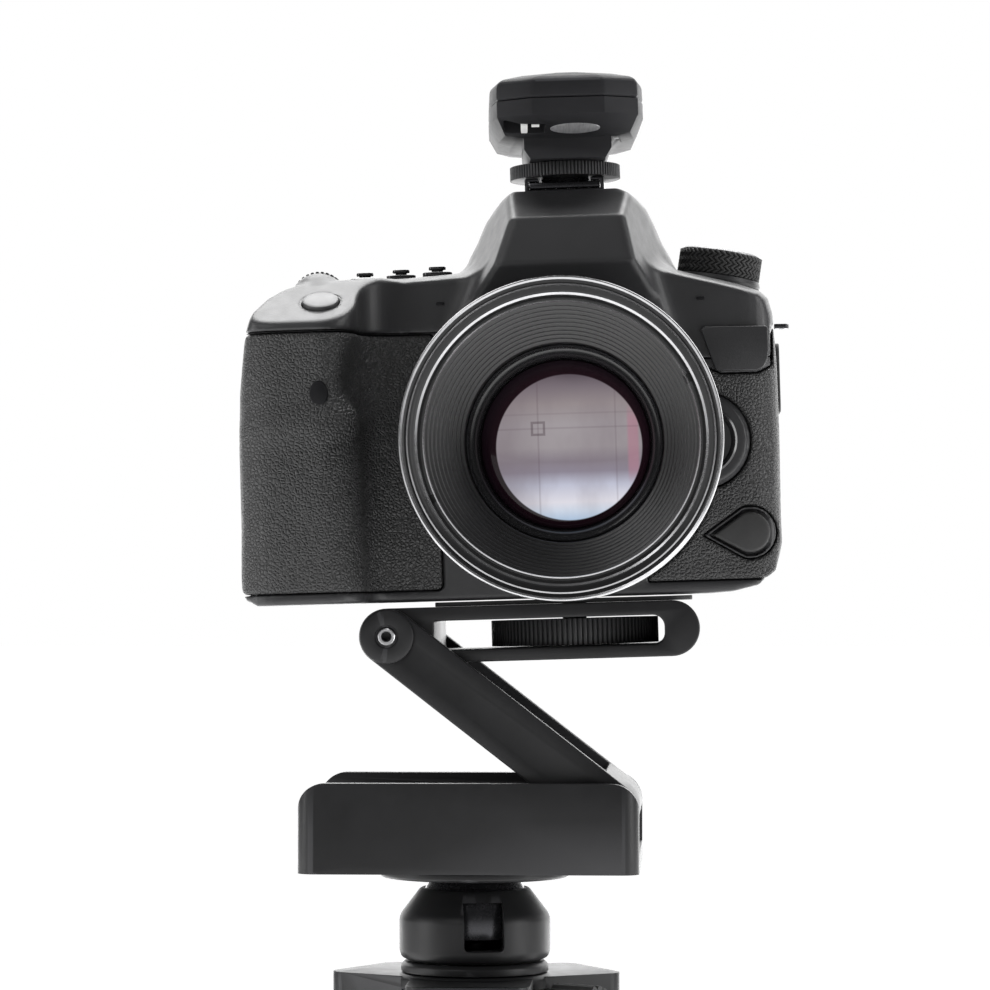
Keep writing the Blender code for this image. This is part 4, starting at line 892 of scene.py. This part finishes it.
def camera_shell():
    body = camera_field()
    rooms = [
        box_field((LENS_X - 20.2, -16.6, 22.7), (LENS_X + 20.2, 30, 62.2)),
        rod_y(LENS_X, LENS_Z, 25.1, -40, -10),
        box_field((LENS_X - 15.2, -13.2, 50), (LENS_X + 15.2, 9.2, 80)),
        box_field((-79.3, -38.4, 0.5), (-57.7, 1.3, 58.3)),
        box_field((-81.1, -40.7, -9), (-55.8, 3.7, 2.8)),
        rod_y(*RELEASE_AT, 4.1, -60, -14),
        rod_along((0, 0, 0), (0, 0, 1), 3.7, -9, 6.2),
        rod_y(LENS_X, LENS_Z, 30.6, -50, -19.7),
        box_field((LENS_X - 13.2, -12.2, 60), (LENS_X + 13.2, 16.2, 98.2)),
        box_field((LENS_X - 9.2, 15, 83.8), (LENS_X + 9.2, 60, 98.2), 2),
        box_field((FRONT_WHEEL_X - 8.8, -18.7, 71.4), (FRONT_WHEEL_X + 8.8, -9.3, 120), 0.6),
    ]
    tilt = math.radians(SHUTTER_SLOPE)
    rooms.append(rod_along(SHUTTER_AT, (0, -math.sin(tilt), math.cos(tilt)), 5.15, -5.6, 20))
    lean = math.radians(MODE_LEAN)
    for radius, low, high in ((4.5, -3.8, 3), (12.2, 0.35, 30)):
        rooms.append(rod_along(MODE_AT, (math.sin(lean), 0, math.cos(lean)), radius, low, high))
    for x, _ in TOP_BUTTONS:
        rooms.append(box_field((x - 4.2, -8.5, 79.8), (x + 4.2, -3.5, 120), 1.3))
    drop = arc(DROP_AT, 6.1, -105, 105, 14) + [(36, 15.3)]
    rooms.append(np.maximum(front_field(drop), GY + 19.3))
    rooms.append(box_field((-21.2, 22.6, 11.8), (45.2, 60, 60.2)))
    rooms.append(rod_y(*THUMB_AT, 15.4, 21.3, 60))
    hollow = functools.reduce(np.minimum, rooms)

    grip = points("-90,3.1 -34.2,3.1 -33.2,4.1 -33.2,68.4 -34.6,69.8 -90,69.8")
    left = np.maximum(np.maximum(front_field(grip), GY - 13.4), -(GY + 60))
    side = points("53.6,4.2 52,3.6 20,3.6 20,58.6 37.5,58.6 40.5,57.2 50,57.2 53.6,59 53.8,69.3 60,69.3 60,4.2")
    right = np.maximum(front_field(side), GY - 13.4)
    right = np.maximum(right, -round_field(LENS_X, LENS_Z, 38.4))
    right = np.maximum(right, -round_field(*RELEASE_AT, 12.6))
    right = np.maximum(right, -(front_field(arc(DROP_AT, 6.9, -105, 105, 14) + [(34.6, 15.3)])))
    for name, area_field, node in (("grip_skin", left, "grip_leather"), ("side_skin", right, None)):
        skin = smax(smax(body - 0.05, area_field + 0.15, 0.9), -(body + 1.45), 0.3)
        field_mesh(name, np.maximum(skin, -(hollow - 0.2)), "leather", "camera", node, 0.45)
    bed = np.maximum(np.minimum(left, right) - 0.15, -(body + 1.75))
    core = np.maximum(np.maximum(body, -bed), -hollow)
    seam = 70.15 - 8.9 * np.clip((GX + 25) / 45, 0, 1) * np.clip((14 - GY) / 8, 0, 1)
    latch = box_field((-63.2, -23, -4), (-58.7, -14, 0.7), 0.4)
    lid = np.maximum(smax(body, box_field((-80.7, -40.3, -3), (-56.3, 3.3, 1.8)), 0.3), -latch)
    field_mesh("battery_lid", lid, "plastic", "door", "battery_door", 0.5)
    field_mesh("front_shell", np.maximum(core, np.maximum(GY - 13.88, GZ - seam + 0.12)), "plastic", "camera",
               "camera_body", 0.4)
    field_mesh("top_shell", np.maximum(core, seam + 0.12 - GZ), "plastic", "camera", "top_cover", 0.45)
    field_mesh("back_shell", np.maximum(core, np.maximum(14.12 - GY, GZ - seam + 0.12)), "plastic", "camera",
               "rear_cover", 0.35)


camera_shell()

# --- lens -------------------------------------------------------------------------------------------------------------


def build_lens():
    shell = points("17,0 32.2,0 32.8,0.4 33.5,1.2 33.5,4.6 33.1,4.9 33.1,5.4 33.5,5.7 33.5,9 34.6,10.6 35,11.4 "
                   "35,21.3 34.7,21.7 33.6,21.7 33.6,42.3 36.6,42.3 37.1,42.9 38.2,46 39,52 39.1,53 39.1,57.6 "
                   "38.8,57.9 38.8,58.5 39.1,58.8 39.2,69.8 39,70.2 38.5,70.3 38.1,69.9 37.6,69.5 36.6,69.3 "
                   "36.3,68.9")
    for turn in range(4):
        shell += [(35.9, 68.7 - 0.7 * turn), (35.5, 68.35 - 0.7 * turn)]
    shell += points("35.2,65.9 34.3,65.9 34.2,66.2")
    for ridge in range(11):
        radius = 33.9 - 0.86 * ridge
        level = 66.2 - 1.86 * ridge
        shell += [(radius, level), (radius - 0.4, level - 0.02), (radius - 0.5, level - 0.07)]
        shell += [(radius - 0.56, level - 0.18), (radius - 0.6, level - 1.66)]
    shell += points("24.5,45.6 24.5,31.5 17,30.5")
    notches = []
    for azimuth in (24, 203):
        turn = spin(azimuth, "Z")
        notches.append(block((33, -1.1, 64.2), (35.6, 1.1, 70), turn))
    piece("lens_shell", turned(shell, 128, ring=True), "lens_plastic", LENS, "camera", "lens_barrel",
          cuts=notches, angle=44)
    rims = (("lens_outer_lip", points("38.2,70.2 39,70.1 39.15,70.4 39.05,70.75 38.75,70.9 38.3,70.75")),
            ("lens_middle_lip", points("36.9,69.3 37.35,69.4 37.35,69.75 37,69.8")),
            ("filter_thread_lip", points("34.8,65.7 35.9,65.7 35.9,66.4 35.5,66.8 34.95,66.5")),
            ("lens_baffle_lip", points("33.25,65.9 33.7,65.95 33.65,66.3 33.35,66.35")))
    for name, profile in rims:
        piece(name, turned(profile, 160, ring=True), "lip", LENS, "camera")
    bezel = points("21.3,35.5 24.4,35.5 24.4,45.2 24.1,45.5 23.8,45.2 23.6,40.2 22.6,39.7 21.9,38.7 21.5,37.5")
    piece("lens_bezel", turned(bezel, 128, ring=True), "gloss", LENS, "camera")
    dome = points("0,33.5 21.2,33.7 21.2,35.9")
    dome += [(21.2 * math.cos(a), 35.9 + 2.2 * math.sin(a)) for a in np.linspace(0.15, 1.45, 12)] + [(0, 38.1)]
    piece("front_glass", turned(dome, 96), "lens_glass", LENS, "camera", "front_element", angle=50)
    back = points("0,3 16.6,4.4 16.7,6.9 14,7.9 8,9.2 3,9.75 0,9.8")
    piece("rear_glass", turned(back, 64), "glass", LENS, "camera", "rear_element", edge=0.15)
    grip = toothed(36.3, 37, 72, True)
    cutter = turned(points("0,21 33.9,21 33.9,43 0,43"), 96)
    belts = [turned([(36.55, z), (38, z), (38, z + 0.9), (36.55, z + 0.9)], 96, ring=True) for z in (26.4, 36.6)]
    piece("focus_grip", slab(grip, "Z", 22, 42), "rubber", LENS, "focus", "focus_ring",
          cuts=[cutter] + belts, edge=0.12, segments=2)
    flange = points("25.2,20 30,20 30,22.9 29.7,23.3 26,23.3 25.8,22.4 25.2,22.4")
    seat = CAMERA @ move(LENS_X, 0, LENS_Z) @ spin(90, "X")
    screws = [rod(0.9, 22.7, 25, 20, spin(a, "Z") @ move(27.9, 0, 0)) for a in (45, 135, 225, 315)]
    piece("mount_flange", turned(flange, 96, ring=True), "steel_tube", seat, "camera", "lens_mount_ring",
          cuts=screws)


build_lens()

# --- flash trigger ----------------------------------------------------------------------------------------------------

HUMP_TOP, SHOE_TOP, NECK_LOW = 107.2, 111.4, 115.5
BODY = TRIGGER @ spin(TRIGGER_TURN, "Z")
FOOT = CAMERA @ move(LENS_X, SHOE_Y, 0)


def shell_ring(height, half, front, back, corner):
    right = [(half - 10.8, front), (half - 1.8, front + corner), (half, front + 17), (half, back - 8)]
    right += [(half - 3.5, back)]
    return [(x, y, height) for x, y in right + [(-x, y) for x, y in reversed(right)]]


def build_trigger():
    tub = [shell_ring(120.9, 15, -18, 24, 0.6), shell_ring(121.6, 18.2, -20, 27, 1)]
    tub += [shell_ring(z, 20.2, -30, 30, 5.5) for z in (125.7, 129.9)]
    neck = [(-9.9, NECK_LOW), (9.9, NECK_LOW), (11.5, 118), (11.5, 121.8), (-11.5, 121.8), (-11.5, 118)]
    hole = spin(-TRIGGER_TURN, "Z") @ move(LENS_X - TRIGGER_X, 0, 0)
    facing = move(-11.4, -22.8, 122.75) @ spin(67.7, "X")
    cuts = [block((-15, -16, 122.3), (15, 26, 140)), rod(6.5, 110, 125, 48, hole),
            slab(rounded((-5.5, -2.3), (5.5, 2.3), (0.6,) * 4, 3), "Z", -4.4, 4, facing @ spin(90, "X")),
            rod(0.55, -3, 3, 20, move(13.4, -10.5, 121.2))]
    piece("trigger_case_lower", loft(tub), "trigger", BODY, "camera", "trigger_lower_shell",
          joins=[slab(neck, "Y", -18, 16)], cuts=cuts, edge=0.7, segments=3, angle=20)
    lid = [shell_ring(130.1, 20.2, -30, 30, 5.5), shell_ring(134.4, 20.05, -29.8, 29.8, 5.5),
           shell_ring(135.6, 18.9, -28.8, 28.8, 5), shell_ring(136.95, 12.6, -26, 27, 4)]
    piece("trigger_case_upper", loft(lid), "trigger", BODY, "camera", "trigger_upper_shell",
          cuts=[block((-15, -21, 120), (15, 24, 134.2))], edge=0.8, segments=3, angle=14)
    face = BODY @ facing
    knob = slab(rounded((-0.85, -1.9), (0.85, 1.9), (0.3,) * 4, 2), "Y", -0.2, 4.1)
    piece("switch_knob", knob, "white", face, "power_switch", "trigger_switch", edge=0.15, segments=2)
    piece("switch_mark", slab(rounded((1.9, 0.9), (3.9, 1.9), (0.2,) * 4, 2), "Y", 0, 4.2), "white", face, "camera")
    flat = BODY @ move(1.9, -22.8, 122.75) @ spin(67.7, "X")
    label = oval(0, 0, 6.5, 2.6, 48)
    piece("blank_label", slab(label, "Y", -0.22, 0.4), "label", flat, "camera", edge=0.12, segments=2)
    knurl = toothed(14.35, 14.7, 96, True)
    bore = turned(points("0,105 6.5,105 6.5,125 0,125"), 64)
    piece("shoe_lock_ring", slab(knurl, "Z", 111.7, 115.2), "alloy", FOOT, "shoe_lock", "trigger_lock_ring",
          cuts=[bore], edge=0.25, segments=2)
    foot = block((-9.2, -8.8, 108.7), (9.2, 8.8, 110.3))
    piece("shoe_foot", foot, "dark_steel", FOOT, "camera", "trigger_foot", joins=[rod(6.2, 109.4, 119, 48)], edge=0.2)
    low = HUMP_TOP + 0.1
    rail = [(-10.5, low), (10.5, low), (10.5, SHOE_TOP), (6.9, SHOE_TOP), (6.9, SHOE_TOP - 0.8), (9.5, SHOE_TOP - 0.8),
            (9.5, low + 1.1), (-9.5, low + 1.1), (-9.5, SHOE_TOP - 0.8), (-6.9, SHOE_TOP - 0.8), (-6.9, SHOE_TOP),
            (-10.5, SHOE_TOP)]
    piece("accessory_shoe", slab(rail, "Y", -9, 9), "dark_steel", FOOT, "camera", "hot_shoe", edge=0.18)


build_trigger()

# --- controls ---------------------------------------------------------------------------------------------------------


SHUTTER = CAMERA @ move(*SHUTTER_AT) @ spin(SHUTTER_SLOPE, "X")
MODE = CAMERA @ move(*MODE_AT) @ spin(MODE_LEAN, "Y")


def knurled(inner, outer, teeth, low, high, twist, levels=7):
    """A crossed knurl: the toothed outline, turned to and fro from the low face to the high one."""
    rings = []
    for level in range(levels):
        turn = math.radians(twist) * (0.5 if level % 2 else -0.5)
        height = low + (high - low) * (level / (levels - 1))
        rings.append([(u * math.cos(turn) - v * math.sin(turn), u * math.sin(turn) + v * math.cos(turn), height)
                      for u, v in toothed(inner, outer, teeth, True)])
    return loft(rings)


def build_controls():
    cap = points("0,-4.2 4.7,-4.2 4.7,0.8 4.6,1.05 4.35,1.2 3.4,1.3 1.8,1.38 0,1.4")
    piece("shutter_cap", turned(cap, 64), "shutter", SHUTTER, "shutter_release", "shutter_button", angle=60)
    collar = points("4.95,-2 5.7,-2 5.7,0.1 5.55,0.35 5.25,0.4 4.98,0.2")
    piece("shutter_collar", turned(collar, 64, ring=True), "plastic", SHUTTER, "camera", angle=50)
    wheel = slab(toothed(6.5, 7.2, 33), "Z", -4, 4)
    piece("front_wheel", wheel, "plastic", CAMERA @ move(FRONT_WHEEL_X, -14, 80.3) @ spin(-90, "X"), "front_dial",
          "main_dial", edge=0.12, segments=2)
    piece("mode_wheel", knurled(10.45, 10.95, 44, 0.5, 6.5, 7), "rubber", MODE, "mode_selector", "mode_dial",
          joins=[rod(4, -3.2, 3, 48)], angle=20)
    disc = points("0,6.45 10.3,6.45 10.3,6.8 9.9,7.15 9.2,7.2 9,7.05 0,7.05")
    piece("mode_wheel_cap", turned(disc, 96), "dial_top", MODE, "mode_selector")
    ticks = bmesh.new()
    for number in range(11):
        block((6.6, -0.22, 7), (8.4, 0.22, 7.14), spin(number * 360 / 11, "Z"), ticks)
    piece("mode_wheel_marks", ticks, "white", MODE, "mode_selector")
    collar = points("4.6,-1.6 11.2,-1.6 11.4,-0.8 11,0.25 4.6,0.35")
    piece("mode_wheel_seat", turned(collar, 96, ring=True), "plastic", MODE, "camera")
    for number, (x, top) in enumerate(TOP_BUTTONS, start=1):
        cap = slab(rounded((-2.3, -1.6), (2.3, 1.6), (1.55,) * 4, 6), "Z", -0.55, 0.35)
        stem = slab(rounded((-1.5, -1.1), (1.5, 1.1), (1,) * 4, 4), "Z", -6, -0.4)
        where = CAMERA @ move(x, -6, top)
        piece(f"deck_button_{number}", cap, "gloss", where, f"button_{number}", f"top_button_{number}",
              joins=[stem], edge=0.25, segments=3)
        # Painted shade: each seat is a dark gloss ring that stands for the shadow seen in the dish under the cap.
        dish = slab(rounded((-3.95, -2.4), (3.95, 2.4), (2.3,) * 4, 8), "Z", -2.2, -1.15)
        piece(f"deck_button_seat_{number}", dish, "gloss", where, "camera",
              cuts=[slab(rounded((-2.6, -1.9), (2.6, 1.9), (1.8,) * 4, 6), "Z", -3, 0)], edge=0.2)
    small = rounded((-2.6, -1.5), (2.6, 1.5), (1.4,) * 4, 5)
    piece("function_button", slab(small, "Z", -2, 0.7), "gloss", CAMERA @ move(-52.6, -14, 85.1) @ spin(12, "X"),
          "camera", edge=0.4, segments=3)
    seat = CAMERA @ move(RELEASE_AT[0], 0, RELEASE_AT[1]) @ spin(90, "X")
    plunger = points("0,15.4 3.55,15.4 3.55,22.5 3.2,23 2.4,23.2 0,23.1")
    piece("release_plunger", turned(plunger, 48), "gloss", seat, "lens_release", "lens_release_button")
    ring = points("4.1,19 9.2,19 9.2,23.1 8.7,23.5 8,23.1 7.2,22.1 5,22 4.1,21.4")
    piece("release_dish", turned(ring, 64, ring=True), "gloss", seat, "camera")
    drop = arc(DROP_AT, 5.2, -112, 112, 22) + [(37.1, 15.3)]
    piece("terminal_flap", slab(drop, "Y", -21.95, -19.4), "rubber", CAMERA, "camera", "terminal_cover", edge=0.8,
          segments=4)


build_controls()

# --- back, underside and inside ---------------------------------------------------------------------------------------


def build_rear():
    frame_line = rounded((-20.7, 12.3), (44.7, 59.7), (2.5,) * 4, 5)
    piece("screen_frame", slab(frame_line, "Y", 22.9, 25.3), "plastic", CAMERA, "camera", "lcd_screen",
          cuts=[slab(rounded((-17.6, 15.6), (41.6, 57), (1,) * 4, 3), "Y", 24.7, 30)], edge=0.5)
    glass_line = rounded((-17.4, 15.8), (41.4, 56.8), (0.9,) * 4, 3)
    piece("screen_glass", slab(glass_line, "Y", 24.6, 25.15), "screen", CAMERA, "camera", edge=0.12)
    wheel_seat = CAMERA @ move(THUMB_AT[0], 24, THUMB_AT[1]) @ spin(-90, "X")
    piece("thumb_wheel", slab(toothed(14.2, 14.9, 40, True), "Z", -2.1, 1.4), "rubber", wheel_seat, "thumb_dial",
          "rear_dial", joins=[turned(points("0,-1 13.2,-1 13,2.1 6.2,2.1 5.8,1.5 0,1.5"), 72)],
          edge=0.2)
    cup = rounded((-16, 82), (16, 103), (6,) * 4, 8)
    window = rounded((-9.4, 84.2), (9.4, 97.8), (3,) * 4, 5)
    funnel = points("0,31.5 9,31.5 13.5,36.2 0,36.2")
    funnel_at = move(0, 0, 91.5) @ spin(-90, "X")
    finder = CAMERA @ move(LENS_X, 0, 0)
    piece("rubber_eyecup", slab(cup, "Y", 27.3, 36), "rubber", finder, "camera", "eyecup",
          cuts=[slab(window, "Y", 20, 50), turned(funnel, 64, matrix=funnel_at)], edge=0.9, segments=4)
    root = rounded((-14, 82.6), (14, 99), (5,) * 4, 6)
    piece("eyecup_root", slab(root, "Y", 23.6, 27.4), "plastic", finder, "camera",
          cuts=[slab(window, "Y", 20, 50)], edge=0.4)
    piece("sensor_plate", block((LENS_X - 18, 9.5, 26.4), (LENS_X + 18, 11.5, 50.4)), "screen", CAMERA, "camera",
          "image_sensor", edge=0.2)
    flap = slab(rounded((-17, -26), (17, 0), (1.2,) * 4, 3), "Z", -0.6, 0.6)
    piece("mirror_flap", flap, "mirror", CAMERA @ move(LENS_X, 4, 48) @ spin(45, "X"), "mirror", "reflex_mirror",
          edge=0.12)
    shape = points("-11,71.5 14,71.5 15,86 4,96 -11,88")
    piece("finder_prism", slab(shape, "X", LENS_X - 12, LENS_X + 12), "glass", CAMERA, "camera", "pentaprism",
          edge=0.5)
    cell = rounded((-78.7, -37.7), (-58.3, 0.7), (2,) * 4, 5)
    piece("battery_pack", slab(cell, "Z", 3, 57), "plastic", CAMERA, "camera", "battery",
          joins=[block((-75, -20, 56), (-62, -6, 57))], edge=0.5)


build_rear()


def build_small_parts():
    panel = points("39,58.3 39.8,57.8 50,57.6 51.6,58.5 52.6,60.4 53,62.8 53,68.6 52.5,69.1 36.6,69.4 35.6,68.6")
    piece("blank_nameplate", slab(panel, "Y", -22.9, -20.4), "plastic", CAMERA, "camera", edge=0.45, segments=4)
    for side, x, z in (("left", -31.9, 77.3), ("right", 35.8, 76.5)):
        # No slit is cut: a dark plate stands in for each slit, painted shade for its dark inside.
        slit = rounded((x - 1.1, z), (x + 1.1, z + 0.8), (0.35,) * 4, 2)
        piece(f"microphone_slit_{side}", slab(slit, "Y", -21.9, -17), "window", CAMERA, "camera", edge=0.08)
    window = oval(-62, 54, 2.4, 3.2, 40)
    piece("remote_window", slab(window, "Y", -45.3, -42), "window", CAMERA, "camera", edge=0.3, segments=3)
    piece("timer_lamp", turned(points("0,20.6 2.9,20.6 2.9,21.7 2.7,21.85 0,21.9"), 48), "window",
          CAMERA @ move(-44.6, 0, 61) @ spin(90, "X"), "camera")
    for side, x, sign in (("right", 55.3, 1), ("left", -82.4, -1)):
        eye_plate = points("0,-2.6 3.2,-1.8 4,0 3.2,1.8 0,2.6")
        outline = [(sign * u, v) for u, v in eye_plate]
        slot_line = rounded((1.2 if sign > 0 else -2.6, -0.9), (2.6 if sign > 0 else -1.2, 0.9), (0.3,) * 4, 2)
        piece(f"strap_lug_{side}", slab(outline, "Z", -0.65, 0.65), "dark_steel", CAMERA @ move(x, 5, 70.7), "camera",
              cuts=[slab(slot_line, "Z", -2, 2)], edge=0.2)
    cover = rounded((-8, 47.4), (9, 65.5), (2.5,) * 4, 5)
    piece("socket_cover", slab(cover, "X", -0.9, 0.35), "rubber", CAMERA @ move(55.75, 0, 0), "camera", edge=0.3)


build_small_parts()

# --- floor ------------------------------------------------------------------------------------------------------------

sheet = bmesh.new()
bmesh.ops.create_grid(sheet, x_segments=1, y_segments=1, size=30.0)
floor_data = bpy.data.meshes.new("floor")
sheet.to_mesh(floor_data)
sheet.free()
floor = place_mesh("floor", floor_data, Matrix())
floor_data.materials.append(surface(
    "paper", (0.9, 0.9, 0.9), 0.85, 0, (3, 3, 0.3, 0.8, 0.4, (0.87, 0.87, 0.87)), relief=(900, 3, 0.02, 0.2),
    Emission_Color=(1, 1, 1, 1), Emission_Strength=0.93))
